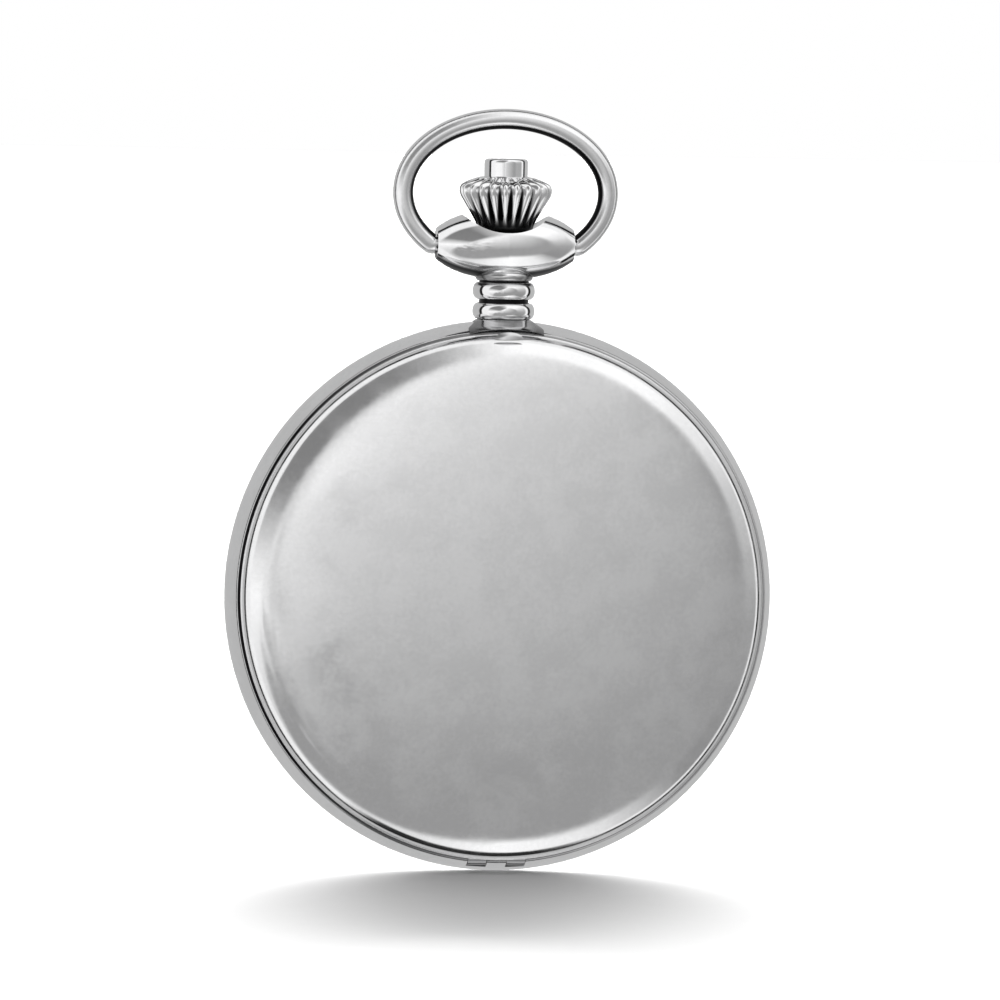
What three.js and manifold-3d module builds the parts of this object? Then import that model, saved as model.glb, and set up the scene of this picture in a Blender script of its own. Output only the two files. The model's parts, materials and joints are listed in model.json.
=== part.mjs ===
// Open-face pocket watch with a hinged back cover, a fluted crown with a push-piece, a bow, and
// a hand-wound lever movement with small seconds. Millimetres, +Z towards twelve o'clock,
// the dial faces -Y and the back cover faces +Y. The origin is the top of the bow's opening.

import * as THREE from 'three';
import { mergeVertices } from 'three/addons/utils/BufferGeometryUtils.js';
import Module from 'manifold-3d';

const wasm = await Module();
wasm.setup();

// ---------------------------------------------------------------- driving dimensions

const CASE_CENTRE_Z = -40.6; // centre of the round case below the inside top of the bow
const CASE_RADIUS = 24;
const RIM_RADIUS = 22.95; // edge of the band where the cover and the bezel close on it
const BAND_HALF_HEIGHT = 2.45;
const BAND_BORE = 20.9;
const FIT = 0.05; // running clearance between neighbouring pieces

const HINGE = { y: 1.75, z: -22.85, radius: 0.58, pinRadius: 0.26, pinReach: 3.2, pocket: 0.79 };

const HEAD = { z: 30.6, halfLength: 6, radius: 3.05, endRadius: 1.35 };
const PENDANT_BORE = 1.35;
const SPIGOT_RADIUS = 1.9;
const CROWN = { radius: 4, flutes: 22, fluteDepth: 0.3, low: 31.6, high: 36.5 };
const BUTTON = { radius: 1.9, low: 35.7, high: 38.05 };
const ROD_RADIUS = 0.35;
const CROSS_PIN_Z = 20.65;
const STEM_RADIUS = 0.85;
const BOW = { wire: 0.88, z: 35.06, halfWidth: 9, halfHeight: 6.44 };
const BOW_PIVOT = 0.55;

const PLATE = { radius: 18.3, low: -2.2, high: -1.1 };
const BRIDGE = { low: 1.1, high: 1.9, radius: 17.6 };
const DIAL = { radius: 20.3, front: -3.7, back: -3.3, centreHole: 1.1 };

const BARREL_MODULE = 0.275;
const CENTRE_MODULE = 0.2667;
const THIRD_MODULE = 0.2267;
const FOURTH_MODULE = 0.18;
const MINUTE_MODULE = 0.25;
const HOUR_MODULE = 0.2667;
const WINDING_MODULE = 1 / 3;

const TEETH = {
  barrel: 48, centrePinion: 8, centre: 48, thirdPinion: 6, third: 45, fourthPinion: 6,
  fourth: 50, escapePinion: 5, escape: 15, cannon: 8, minute: 24, minutePinion: 6, hour: 24,
  windingPinion: 12, crownWheel: 24, ratchet: 32,
};

const FOURTH_DISTANCE = 8.6; // the small seconds stand this far below the dial centre
const BALANCE = { x: -8.2, z: -8.2, radius: 5.3 };
const LEVER_REACH = 7.19; // escape wheel to balance staff
const PALLET_FROM_ESCAPE = 3.3;
const CROWN_WHEEL_Z = 11.85;

const ROUND = 36; // facets round the case
const SMALL_ROUND = 12;
const PIVOT_SIDES = 6;

const HANDS_AT = { hours: 10, minutes: 8 };

const FINISH = {
  polishedSteel: [0xc9cbcd, 0.12, 1],
  brushedSteel: [0xb4b7ba, 0.35, 1],
  springSteel: [0x8f949a, 0.3, 1],
  nickel: [0xcfccc2, 0.3, 1],
  brass: [0xc9a35a, 0.3, 1],
  bluedSteel: [0x24407c, 0.25, 1],
  ruby: [0xa3163a, 0.1, 0],
  glass: [0xf2f6f8, 0.03, 0],
  enamel: [0xf6f4ee, 0.25, 0],
  blackHand: [0x16181c, 0.3, 1],
};

// ---------------------------------------------------------------- solids

const TAU = 2 * Math.PI;
const degrees = (angle) => (angle * Math.PI) / 180;
const polar = (radius, angle) => [radius * Math.cos(angle), radius * Math.sin(angle)];

function bare(geometry) {
  const plain = geometry.clone();
  plain.deleteAttribute('normal');
  plain.deleteAttribute('uv');
  return mergeVertices(plain, 1e-5);
}

function signedVolume(geometry) {
  const position = geometry.getAttribute('position');
  const index = geometry.getIndex();
  const [a, b, c] = [new THREE.Vector3(), new THREE.Vector3(), new THREE.Vector3()];
  let volume = 0;
  for (let i = 0; i < index.count; i += 3) {
    a.fromBufferAttribute(position, index.getX(i));
    b.fromBufferAttribute(position, index.getX(i + 1));
    c.fromBufferAttribute(position, index.getX(i + 2));
    volume += a.dot(b.cross(c)) / 6;
  }
  return volume;
}

// Merges the shared vertices, drops the flat triangles of a lathe's axis and turns the faces outward.
function outward(geometry) {
  const merged = bare(geometry);
  const index = merged.getIndex();
  const kept = [];
  const flip = signedVolume(merged) < 0;
  for (let i = 0; i < index.count; i += 3) {
    const [a, b, c] = [index.getX(i), index.getX(i + 1), index.getX(i + 2)];
    if (a === b || b === c || a === c) continue;
    kept.push(a, flip ? c : b, flip ? b : c);
  }
  merged.setIndex(kept);
  return merged;
}

function toManifold(geometry) {
  const closed = outward(geometry);
  const vertProperties = new Float32Array(closed.getAttribute('position').array);
  const triVerts = new Uint32Array(closed.getIndex().array);
  return new wasm.Manifold(new wasm.Mesh({ numProp: 3, vertProperties, triVerts }));
}

function toGeometry(manifold) {
  const mesh = manifold.getMesh();
  const geometry = new THREE.BufferGeometry();
  geometry.setAttribute('position', new THREE.BufferAttribute(mesh.vertProperties, 3));
  geometry.setIndex(new THREE.BufferAttribute(mesh.triVerts, 1));
  return geometry;
}

function combine(operation, first, rest) {
  let result = toManifold(first);
  for (const geometry of rest) result = result[operation](toManifold(geometry));
  return toGeometry(result);
}

const join = (first, ...rest) => combine('add', first, rest);
const cut = (first, ...rest) => combine('subtract', first, rest);
const common = (first, ...rest) => combine('intersect', first, rest);

// Revolves [radius, height] pairs about the case axis Y. A profile off the axis closes on itself.
function turned(profile, segments = ROUND) {
  const points = profile.map(([radius, height]) => new THREE.Vector2(radius, height));
  if (profile[0][0] > 0 || profile.at(-1)[0] > 0) points.push(points[0].clone());
  return outward(new THREE.LatheGeometry(points, segments));
}

const turnedAlongZ = (profile, segments) => turned(profile, segments).rotateX(Math.PI / 2);
const turnedAlongX = (profile, segments) => turned(profile, segments).rotateZ(-Math.PI / 2);

function rod(radius, low, high, sides = SMALL_ROUND) {
  const height = high - low;
  return new THREE.CylinderGeometry(radius, radius, height, sides).translate(0, low + height / 2, 0);
}

const rodAlongZ = (radius, low, high, sides) => rod(radius, low, high, sides).rotateX(Math.PI / 2);
const rodAlongX = (radius, low, high, sides) => rod(radius, low, high, sides).rotateZ(-Math.PI / 2);

function block([x0, x1], [y0, y1], [z0, z1]) {
  const box = new THREE.BoxGeometry(x1 - x0, y1 - y0, z1 - z0);
  return box.translate((x0 + x1) / 2, (y0 + y1) / 2, (z0 + z1) / 2);
}

// Extrudes an outline drawn in the plane of the dial (x, z) from one height to another.
function plate(shape, low, high, curveSegments = 8) {
  const settings = { depth: high - low, bevelEnabled: false, curveSegments };
  return new THREE.ExtrudeGeometry(shape, settings).rotateX(Math.PI / 2).translate(0, high, 0);
}

function tube(curve, radius, steps, sides) {
  const section = new THREE.Shape();
  for (let i = 0; i < sides; i += 1) {
    const [x, y] = polar(radius, (i * TAU) / sides);
    if (i === 0) section.moveTo(x, y);
    else section.lineTo(x, y);
  }
  section.closePath();
  return new THREE.ExtrudeGeometry(section, { steps, bevelEnabled: false, extrudePath: curve });
}

// A flat strip that follows a curve in the plane of the dial.
function strip(points, thickness, low, high) {
  const half = thickness / 2;
  const [outer, inner] = [[], []];
  points.forEach(([x, z], i) => {
    const [px, pz] = points[Math.max(i - 1, 0)];
    const [nx, nz] = points[Math.min(i + 1, points.length - 1)];
    const length = Math.hypot(nx - px, nz - pz);
    const [dx, dz] = [(-(nz - pz) / length) * half, ((nx - px) / length) * half];
    outer.push(new THREE.Vector2(x + dx, z + dz));
    inner.unshift(new THREE.Vector2(x - dx, z - dz));
  });
  return plate(new THREE.Shape([...outer, ...inner]), low, high);
}

function arcPoints(radius, from, to, count, centre = [0, 0]) {
  return Array.from({ length: count + 1 }, (_, i) => {
    const [x, z] = polar(radius, degrees(from + ((to - from) * i) / count));
    return [x + centre[0], z + centre[1]];
  });
}

function ringSector(inner, outer, from, to, count) {
  const edge = [...arcPoints(outer, from, to, count), ...arcPoints(inner, to, from, count)];
  return new THREE.Shape(edge.map(([x, z]) => new THREE.Vector2(x, z)));
}

const outline = (points) => new THREE.Shape(points.map(([x, z]) => new THREE.Vector2(x, z)));

function roundHole(x, z, radius) {
  const hole = new THREE.Path();
  hole.absarc(x, z, radius, 0, TAU, true);
  return hole;
}

// A link with two round ends of different radii.
function link([x0, z0], r0, [x1, z1], r1, steps = 8) {
  const along = Math.atan2(z1 - z0, x1 - x0);
  const lean = Math.acos((r0 - r1) / Math.hypot(x1 - x0, z1 - z0));
  const points = [];
  for (let i = 0; i <= steps; i += 1) {
    const [x, z] = polar(r1, along - lean + (2 * lean * i) / steps);
    points.push([x1 + x, z1 + z]);
  }
  for (let i = 0; i <= steps; i += 1) {
    const [x, z] = polar(r0, along + lean + ((TAU - 2 * lean) * i) / steps);
    points.push([x0 + x, z0 + z]);
  }
  return outline(points);
}

// ---------------------------------------------------------------- gears

const FINE_TEETH = 32; // wheels with more teeth than this have pointed ones
const TOOTH = { addendum: 0.9, dedendum: 1.2, foot: 0.27, tip: 0.13 };

function gearOutline(teeth, module, phase) {
  const pitch = (teeth * module) / 2;
  const root = pitch - TOOTH.dedendum * module;
  const tip = pitch + TOOTH.addendum * module;
  const step = TAU / teeth;
  const points = [];
  for (let i = 0; i < teeth; i += 1) {
    const centre = phase + i * step;
    const top = teeth > FINE_TEETH ? [centre] : [centre - TOOTH.tip * step, centre + TOOTH.tip * step];
    points.push(polar(root, centre - TOOTH.foot * step));
    points.push(...top.map((angle) => polar(tip, angle)));
    points.push(polar(root, centre + TOOTH.foot * step));
  }
  return outline(points);
}

// Windows between the spokes of a wheel.
function addSpokes(shape, count, hub, rim, width, phase) {
  const step = TAU / count;
  for (let i = 0; i < count; i += 1) {
    const from = phase + i * step;
    const hole = new THREE.Path();
    const [outerLean, innerLean] = [width / 2 / rim, width / 2 / hub];
    hole.absarc(0, 0, rim, from + outerLean, from + step - outerLean, false);
    hole.absarc(0, 0, hub, from + step - innerLean, from + innerLean, true);
    hole.closePath();
    shape.holes.push(hole);
  }
  return shape;
}

function wheel(teeth, module, phase, low, high, spokes = 4) {
  const rim = (teeth * module) / 2 - TOOTH.dedendum * module - 0.4;
  const shape = gearOutline(teeth, module, phase);
  if (spokes > 0) addSpokes(shape, spokes, 1.25, rim, 0.55, phase);
  return plate(shape, low, high, 3);
}

const pinion = (teeth, module, phase, low, high) => plate(gearOutline(teeth, module, phase), low, high);

// The phase that sets a gap of the driven gear on the tooth of the driver.
function meshPhase(driverTeeth, driverPhase, driverAt, drivenTeeth, drivenAt) {
  const direction = Math.atan2(drivenAt[1] - driverAt[1], drivenAt[0] - driverAt[0]);
  const offset = ((direction - driverPhase) * driverTeeth) / TAU;
  return direction + Math.PI - (TAU / drivenTeeth) * (0.5 - (offset - Math.floor(offset)));
}

const meshDistance = (teethA, teethB, module) => ((teethA + teethB) * module) / 2;

// The point at one distance from a and another from b, on the left of the line a to b.
function apex(a, fromA, b, fromB) {
  const [dx, dz] = [b[0] - a[0], b[1] - a[1]];
  const span = Math.hypot(dx, dz);
  const along = (fromA ** 2 - fromB ** 2 + span ** 2) / (2 * span);
  const aside = Math.sqrt(fromA ** 2 - along ** 2);
  return [a[0] + (dx * along - dz * aside) / span, a[1] + (dz * along + dx * aside) / span];
}

const CENTRE_AT = [0, 0];
const FOURTH_AT = [0, -FOURTH_DISTANCE];
const BALANCE_AT = [BALANCE.x, BALANCE.z];
const CROWN_WHEEL_AT = [0, CROWN_WHEEL_Z];
const BARREL_AT = apex(
  CENTRE_AT, meshDistance(TEETH.barrel, TEETH.centrePinion, BARREL_MODULE),
  CROWN_WHEEL_AT, meshDistance(TEETH.crownWheel, TEETH.ratchet, WINDING_MODULE),
);
const THIRD_AT = apex(
  CENTRE_AT, meshDistance(TEETH.centre, TEETH.thirdPinion, CENTRE_MODULE),
  FOURTH_AT, meshDistance(TEETH.third, TEETH.fourthPinion, THIRD_MODULE),
);
const ESCAPE_AT = apex(
  FOURTH_AT, meshDistance(TEETH.fourth, TEETH.escapePinion, FOURTH_MODULE),
  BALANCE_AT, LEVER_REACH,
);
const MINUTE_AT = polar(meshDistance(TEETH.cannon, TEETH.minute, MINUTE_MODULE), degrees(35));

const towards = (from, to, distance) => {
  const span = Math.hypot(to[0] - from[0], to[1] - from[1]);
  return from.map((value, i) => value + ((to[i] - value) / span) * distance);
};
const PALLET_AT = towards(ESCAPE_AT, BALANCE_AT, PALLET_FROM_ESCAPE);
const LEVER_ANGLE = Math.atan2(BALANCE_AT[1] - ESCAPE_AT[1], BALANCE_AT[0] - ESCAPE_AT[0]);
const COCK_FOOT = [-14.8, -3.4];
const COCK = { low: 1.5, high: 2.15 };
const SCREWS = {
  barrel_bridge_screw_a: [polar(16.3, degrees(35)), BRIDGE.high],
  barrel_bridge_screw_b: [polar(16.3, degrees(140)), BRIDGE.high],
  train_bridge_screw_a: [polar(16.3, degrees(-30)), BRIDGE.high],
  train_bridge_screw_b: [polar(16.3, degrees(-72)), BRIDGE.high],
  balance_cock_screw: [COCK_FOOT, COCK.high],
};

// ---------------------------------------------------------------- assembly

const watch = new THREE.Group();
const inCase = new THREE.Group();
inCase.position.z = CASE_CENTRE_Z;
watch.add(inCase);

function add(name, geometry, finish, at = [0, 0], angle = 0) {
  const [color, roughness, metalness] = FINISH[finish];
  const material = new THREE.MeshStandardMaterial({ color, roughness, metalness });
  const mesh = new THREE.Mesh(outward(geometry), material);
  mesh.name = name;
  mesh.position.set(at[0], 0, at[1]);
  mesh.rotation.y = angle;
  inCase.add(mesh);
}

// ---------------------------------------------------------------- case band and pendant

const bandOutside = [
  [RIM_RADIUS, -BAND_HALF_HEIGHT], [23.2, -2.3], [23.85, -0.8], [CASE_RADIUS, 0],
  [23.85, 0.8], [23.2, 2.3], [RIM_RADIUS, BAND_HALF_HEIGHT],
];

// The cover's two hinge knuckles turn in pockets cut in the band.
const COVER_KNUCKLES = [[-2.5, -0.9], [0.9, 2.5]];
const onHinge = (radius, from, to, sides) => (
  rodAlongX(radius, from, to, sides).translate(0, HINGE.y, HINGE.z)
);

function caseMiddle() {
  const bore = [
    [BAND_BORE, BAND_HALF_HEIGHT], [BAND_BORE, -1.7], [19.7, -1.7], [19.7, -BAND_HALF_HEIGHT],
  ];
  return cut(
    turned([...bandOutside, ...bore]),
    rodAlongZ(SPIGOT_RADIUS + FIT, 18, 26, 20),
    ...COVER_KNUCKLES.map(([from, to]) => onHinge(HINGE.pocket, from - FIT, to + FIT, 20)),
    onHinge(HINGE.pinRadius + FIT, -HINGE.pinReach - 0.1, HINGE.pinReach + 0.1, 10),
  );
}

function backCover() {
  const outside = [
    [0, 5.9], [1.6, 5.9], [8, 5.74], [14, 5.33], [18.2, 4.83], [20.6, 4.4], [21.9, 3.93],
    [22.55, 3.35], [22.75, 2.88], [22.9, 2.84], [22.9, 2.5],
  ];
  const inside = [
    [20.7, 2.5], [20.7, 1.95], [20.3, 1.95], [20.2, 3.2], [18.2, 4.15], [14, 4.7],
    [7, 5.15], [0, 5.3],
  ];
  const knuckles = COVER_KNUCKLES.flatMap(([from, to]) => [
    onHinge(HINGE.radius, from, to, 12),
    block([from, to], [HINGE.y, 2.6], [HINGE.z, HINGE.z + 0.3]),
  ]);
  return cut(
    join(turned([...outside, ...inside]), ...knuckles),
    onHinge(HINGE.pinRadius + FIT, -5, 5, 10),
  );
}

function pendant() {
  const neck = turnedAlongZ([
    [0, 21], [SPIGOT_RADIUS, 21], [SPIGOT_RADIUS, 22.5], [4, 22.5], [3.2, 23.5], [2.5, 23.95],
    [2.72, 24.4], [2.72, 25.05], [2.2, 25.6], [2.72, 26.2], [2.72, 27], [2.2, 27.4],
    [2.5, 27.75], [2.2, 28.5], [2.2, 30.5], [0, 30.5],
  ], 20);
  const { halfLength, radius, endRadius } = HEAD;
  const head = turnedAlongX([
    [0, -halfLength], [endRadius, -halfLength], [1.72, -5.55], [2.4, -4.2], [2.92, -2.2],
    [radius, 0], [2.92, 2.2], [2.4, 4.2], [1.72, 5.55], [endRadius, halfLength],
    [0, halfLength],
  ], 20).translate(0, 0, HEAD.z);
  const dish = turnedAlongZ([
    [0, 31.1], [2, 31.15], [3.1, 31.7], [3.85, 33], [3.85, 34.5], [0, 34.5],
  ], 20);
  const stemBore = rodAlongZ(PENDANT_BORE, 20, 32, 14);
  const bowBores = [-1, 1].map((side) => (
    rodAlongX(BOW_PIVOT + FIT, side > 0 ? 4.4 : -6.5, side > 0 ? 6.5 : -4.4, 10)
      .translate(0, 0, HEAD.z)
  ));
  const seat = turned([
    [0, -4], [23.4, -4], ...bandOutside.map(([r, y]) => [r + FIT, y * 1.03]), [23.4, 4], [0, 4],
  ]);
  const spigotClear = cut(seat, rodAlongZ(SPIGOT_RADIUS + 0.001, 18, 26, 20));
  return cut(join(neck, head), spigotClear, dish, stemBore, ...bowBores);
}

function bow() {
  const { wire, z, halfWidth, halfHeight } = BOW;
  const end = Math.acos(6.5 / halfWidth); // where the wire runs into the pendant's head
  const route = Array.from({ length: 17 }, (_, i) => {
    const angle = -end + ((Math.PI + 2 * end) * i) / 16;
    return new THREE.Vector3(halfWidth * Math.cos(angle), 0, z + halfHeight * Math.sin(angle));
  });
  const foot = (side) => new THREE.Vector3(side * 6.2, 0, HEAD.z);
  const pivots = [[-6.6, -4.6], [4.6, 6.6]].map(([from, to]) => (
    rodAlongX(BOW_PIVOT, from, to, 10).translate(0, 0, HEAD.z)
  ));
  const curve = new THREE.CatmullRomCurve3([foot(1), ...route, foot(-1)]);
  return join(tube(curve, wire, 40, 8), ...pivots);
}

add('case_middle', caseMiddle(), 'polishedSteel');
add('back_cover', backCover(), 'polishedSteel');
add('back_hinge_pin', onHinge(HINGE.pinRadius, -HINGE.pinReach, HINGE.pinReach, 10), 'brushedSteel');
add('pendant', pendant(), 'polishedSteel');
add('pendant_sleeve', turnedAlongZ([[1.02, 24.5], [1.3, 24.5], [1.3, 30.4], [1.02, 30.4]], 20),
  'brass');
add('bow', bow(), 'polishedSteel');

// ---------------------------------------------------------------- bezel, crystal and dial

add('front_bezel', turned([
  [20.5, -2.5], [22.9, -2.5], [22.9, -2.8], [22.3, -3.6], [21.2, -4.35], [20.25, -4.55],
  [20.25, -4.3], [20.85, -4.3], [20.85, -3.8], [20.5, -3.8],
]), 'polishedSteel');

add('crystal', turned([
  [0, -6.13], [7, -6.03], [14, -5.65], [20.2, -4.6], [20.2, -4.25], [20.8, -4.25],
  [20.8, -3.85], [19.7, -3.85], [14, -4.95], [7, -5.3], [0, -5.4],
]), 'glass');

function dial() {
  const { radius, front, back, centreHole } = DIAL;
  const face = turned([
    [centreHole, front], [radius, front], [radius, back], [centreHole, back],
  ]);
  const [x, z] = FOURTH_AT;
  const secondsSink = rod(4.3, front - 1, front + 0.12, 28).translate(x, 0, z);
  const secondsHole = rod(0.4, front - 1, back + 1, 12).translate(x, 0, z);
  return cut(face, secondsSink, secondsHole);
}

add('dial', dial(), 'enamel');

// ---------------------------------------------------------------- crown, stem and push-piece

function crown() {
  const { radius, flutes, fluteDepth, low, high } = CROWN;
  const points = [];
  for (let i = 0; i < flutes; i += 1) {
    const [centre, step] = [(i * TAU) / flutes, TAU / flutes];
    points.push(polar(radius, centre - 0.26 * step), polar(radius, centre + 0.26 * step));
    points.push(polar(radius - fluteDepth, centre + 0.5 * step));
  }
  const settings = { depth: high - low + 1, bevelEnabled: false };
  const fluted = new THREE.ExtrudeGeometry(outline(points), settings).translate(0, 0, low - 0.5);
  const envelope = turnedAlongZ([
    [0, low], [1.9, low], [2.5, 32.3], [3.3, 33.6], [4.05, 34.9], [4.05, 35.7],
    [3.3, 36.15], [2.4, high], [0, high],
  ], 24);
  return cut(
    common(fluted, envelope),
    rodAlongZ(STEM_RADIUS + FIT, 30, 34.25, 16),
    rodAlongZ(ROD_RADIUS + 0.08, 34, 35, 12),
    rodAlongZ(BUTTON.radius + FIT, 34.6, 37, 18),
  );
}

function windingStem() {
  const body = turnedAlongZ([
    [0, 10.9], [0.35, 10.9], [0.35, 12.5], [0.55, 12.5], [0.55, 17.5], [0.4, 17.5],
    [0.4, 18.1], [0.6, 18.1], [0.6, 18.6], [STEM_RADIUS, 18.6], [STEM_RADIUS, 34.2], [0, 34.2],
  ], 12);
  return cut(
    body,
    rodAlongZ(ROD_RADIUS + 0.07, 19.8, 35, 10),
    block([-1, 1], [-0.26, 0.26], [CROSS_PIN_Z - 0.85, CROSS_PIN_Z + 0.25]),
  );
}

const buttonShape = turnedAlongZ([
  [0, BUTTON.low], [BUTTON.radius, BUTTON.low], [BUTTON.radius, 37.82], [1.82, 37.98],
  [1.65, BUTTON.high], [0, BUTTON.high],
], 18);
const springCurve = new THREE.CatmullRomCurve3(Array.from({ length: 26 }, (_, i) => {
  const [x, y] = polar(1.3, (i * TAU) / 10);
  return new THREE.Vector3(x, y, 34.78 + i * 0.03);
}));

add('crown', crown(), 'polishedSteel');
add('winding_stem', windingStem(), 'springSteel');
add('push_spring', tube(springCurve, 0.1, 25, 4), 'springSteel');
add('push_piece', buttonShape, 'polishedSteel');
add('push_rod', join(
  rodAlongZ(ROD_RADIUS, 20.45, 35.65, 10),
  rodAlongX(0.18, -1.2, 1.2, 8).translate(0, 0, CROSS_PIN_Z),
), 'springSteel');

function lockSpring() {
  const leaf = strip(arcPoints(20.2, 38, 88, 14), 0.45, -0.9, 0.9);
  const eye = block([-1.6, 1.6], [-1.5, 1.5], [20, 20.4]);
  const nose = block([3.2, 4.6], [0.8, 1.85], [19.65, 20.05]);
  return cut(join(leaf, eye, nose), rodAlongZ(1.05, 18, 22, 16));
}

add('lock_spring', lockSpring(), 'springSteel');
add('lift_spring', join(
  strip(arcPoints(20.2, 205, 262, 14), 0.45, -0.9, 0.9),
  block([-3, -2], [0.6, 1.8], [-20.3, -19.6]),
), 'springSteel');

// ---------------------------------------------------------------- plates and bridges

const pivotAt = ([x, z], low, high, radius = 0.24) => (
  rod(radius, low, high, PIVOT_SIDES).translate(x, 0, z)
);

function movementRing() {
  const ring = turned([
    [18.35, -1.65], [20.7, -1.65], [20.7, -1.3], [19.3, -1.3], [19.3, 0.9], [18.35, 0.9],
  ]);
  return cut(ring, block([-3.4, 3.4], [-3, 3], [17, 22]));
}

function mainPlate() {
  const { radius, low, high } = PLATE;
  const disc = turned([
    [0, high], [radius, high], [radius, -3.25], [17.3, -3.25], [17.3, low], [0, low],
  ]);
  const stemBlock = block([-1.2, 1.2], [high - 0.1, 0.9], [11, 12.3]);
  const holes = [
    pivotAt(CENTRE_AT, -4, 0, 0.5), pivotAt(MINUTE_AT, -4, 0), pivotAt(FOURTH_AT, -4, 0, 0.3),
    ...[BARREL_AT, THIRD_AT, ESCAPE_AT, PALLET_AT, BALANCE_AT].map((at) => pivotAt(at, -1.6, 0)),
  ];
  return cut(
    join(disc, stemBlock),
    block([-2.4, 2.4], [-4, 0], [12.6, 19]),
    rodAlongZ(0.42, 10, 13, 12),
    ...holes,
  );
}

const foot = (from, to) => (
  plate(ringSector(15.2, 17.5, from, to, 6), PLATE.high + 0.04, BRIDGE.low + 0.1)
);
const edgePoints = (from, to, count) => arcPoints(BRIDGE.radius, from, to, count);
const screwHole = (name) => pivotAt(SCREWS[name][0], -1.5, 3, 0.38);

function barrelBridge() {
  const shape = outline([
    ...edgePoints(6, 176, 20), [-15.5, -0.4], [-9, -1.9], [-3.4, -2.1], [2.2, -2.3], [5.6, -0.4],
    [8.5, 1.1],
  ]);
  return cut(
    join(plate(shape, BRIDGE.low, BRIDGE.high), foot(10, 64), foot(106, 168)),
    block([-2.45, 2.45], [0, 3], [15.4, 19]),
    block([-1.75, 1.75], [0, 3], [12.85, 15.6]),
    pivotAt(CENTRE_AT, 0, 3), pivotAt(BARREL_AT, 0, 3, 0.78),
    screwHole('barrel_bridge_screw_a'), screwHole('barrel_bridge_screw_b'),
  );
}

function trainBridge() {
  const shape = outline([
    ...edgePoints(-112, -6, 13), [11, -1.4], [6.6, -1.7], [3.2, -3], [0.2, -5.6], [-1.9, -8],
    [-2.3, -9.8], [-3.4, -11.4], [-4.7, -12.6], [-5.6, -14.4],
  ]);
  const holes = [THIRD_AT, FOURTH_AT, ESCAPE_AT].map((at) => pivotAt(at, 0, 1.6));
  return cut(
    join(plate(shape, BRIDGE.low, BRIDGE.high), foot(-84, -12)), ...holes,
    screwHole('train_bridge_screw_a'), screwHole('train_bridge_screw_b'),
  );
}

function balanceCock() {
  const arm = plate(link(COCK_FOOT, 1.75, BALANCE_AT, 2), COCK.low, COCK.high);
  const post = plate(link([-15.2, -3.9], 1.3, [-14.6, -2.9], 1.3), PLATE.high + 0.04, COCK.low + 0.1);
  return cut(join(arm, post), pivotAt(BALANCE_AT, 0, 1.9, 0.2), screwHole('balance_cock_screw'));
}

add('movement_ring', movementRing(), 'nickel');
add('main_plate', mainPlate(), 'nickel');
add('barrel_bridge', barrelBridge(), 'nickel');
add('train_bridge', trainBridge(), 'nickel');
add('balance_cock', balanceCock(), 'nickel');

function screw(name, at, low) {
  const head = join(rod(0.75, low + 0.03, low + 0.4, 12), rod(0.3, low - 0.6, low + 0.2, 6));
  add(name, cut(head, block([-1, 1], [low + 0.22, low + 1], [-0.12, 0.12])), 'bluedSteel', at, 0.5);
}

const jewel = (name, at, top) => (
  add(name, turned([[0.24, top + 0.02], [0.8, top + 0.02], [0.8, top + 0.14], [0.5, top + 0.14]], 12),
    'ruby', at)
);

for (const [name, [at, low]] of Object.entries(SCREWS)) screw(name, at, low);
jewel('third_jewel', THIRD_AT, BRIDGE.high);
jewel('fourth_jewel', FOURTH_AT, BRIDGE.high);
jewel('escape_jewel', ESCAPE_AT, BRIDGE.high);
jewel('balance_jewel', BALANCE_AT, COCK.high);

// ---------------------------------------------------------------- going train

const phases = { centre: 0 };
phases.barrel = meshPhase(
  TEETH.centrePinion, phases.centre, CENTRE_AT, TEETH.barrel, BARREL_AT,
);
phases.third = meshPhase(TEETH.centre, phases.centre, CENTRE_AT, TEETH.thirdPinion, THIRD_AT);
phases.fourth = meshPhase(TEETH.third, phases.third, THIRD_AT, TEETH.fourthPinion, FOURTH_AT);
phases.escape = meshPhase(TEETH.fourth, phases.fourth, FOURTH_AT, TEETH.escapePinion, ESCAPE_AT);
phases.minute = meshPhase(TEETH.cannon, phases.centre, CENTRE_AT, TEETH.minute, MINUTE_AT);
phases.hour = meshPhase(TEETH.minutePinion, phases.minute, MINUTE_AT, TEETH.hour, CENTRE_AT);

const arbor = (radius, low, high) => join(
  rod(radius, low, high, 10),
  rod(0.15, low - 0.35, high + 0.35, PIVOT_SIDES),
);

function barrelDrum() {
  const teeth = pinion(TEETH.barrel, BARREL_MODULE, phases.barrel, -0.5, 0);
  const drum = rod(5.9, -0.4, 0.75, 28);
  const hollow = rod(5.6, -0.25, 0.9, 28);
  return cut(join(teeth, drum), hollow, rod(0.95, -1, 1, 16));
}

function barrelArbor() {
  return join(
    rod(0.18, -1.5, -0.5, PIVOT_SIDES), rod(0.85, -0.62, 0.98, 14), rod(0.65, 0.9, 2.02, 14),
  );
}

const mainspringCoils = strip(
  Array.from({ length: 66 }, (_, i) => polar(1.8 + (i / 65) * 3.4, (i * TAU) / 13)),
  0.22, -0.15, 0.62,
);

function centreWheel() {
  return join(
    wheel(TEETH.centre, CENTRE_MODULE, phases.centre, -0.95, -0.72),
    pinion(TEETH.centrePinion, BARREL_MODULE, phases.centre, -0.8, 0.1),
    rod(0.4, -0.98, 0.95, 12), rod(0.16, 0.9, 1.5, PIVOT_SIDES), rod(0.3, -4.55, -0.9, 12),
  );
}

function thirdWheel() {
  return join(
    wheel(TEETH.third, THIRD_MODULE, phases.third, -0.3, -0.1),
    pinion(TEETH.thirdPinion, CENTRE_MODULE, phases.third, -1, -0.2),
    arbor(0.3, -1, 1),
  );
}

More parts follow.
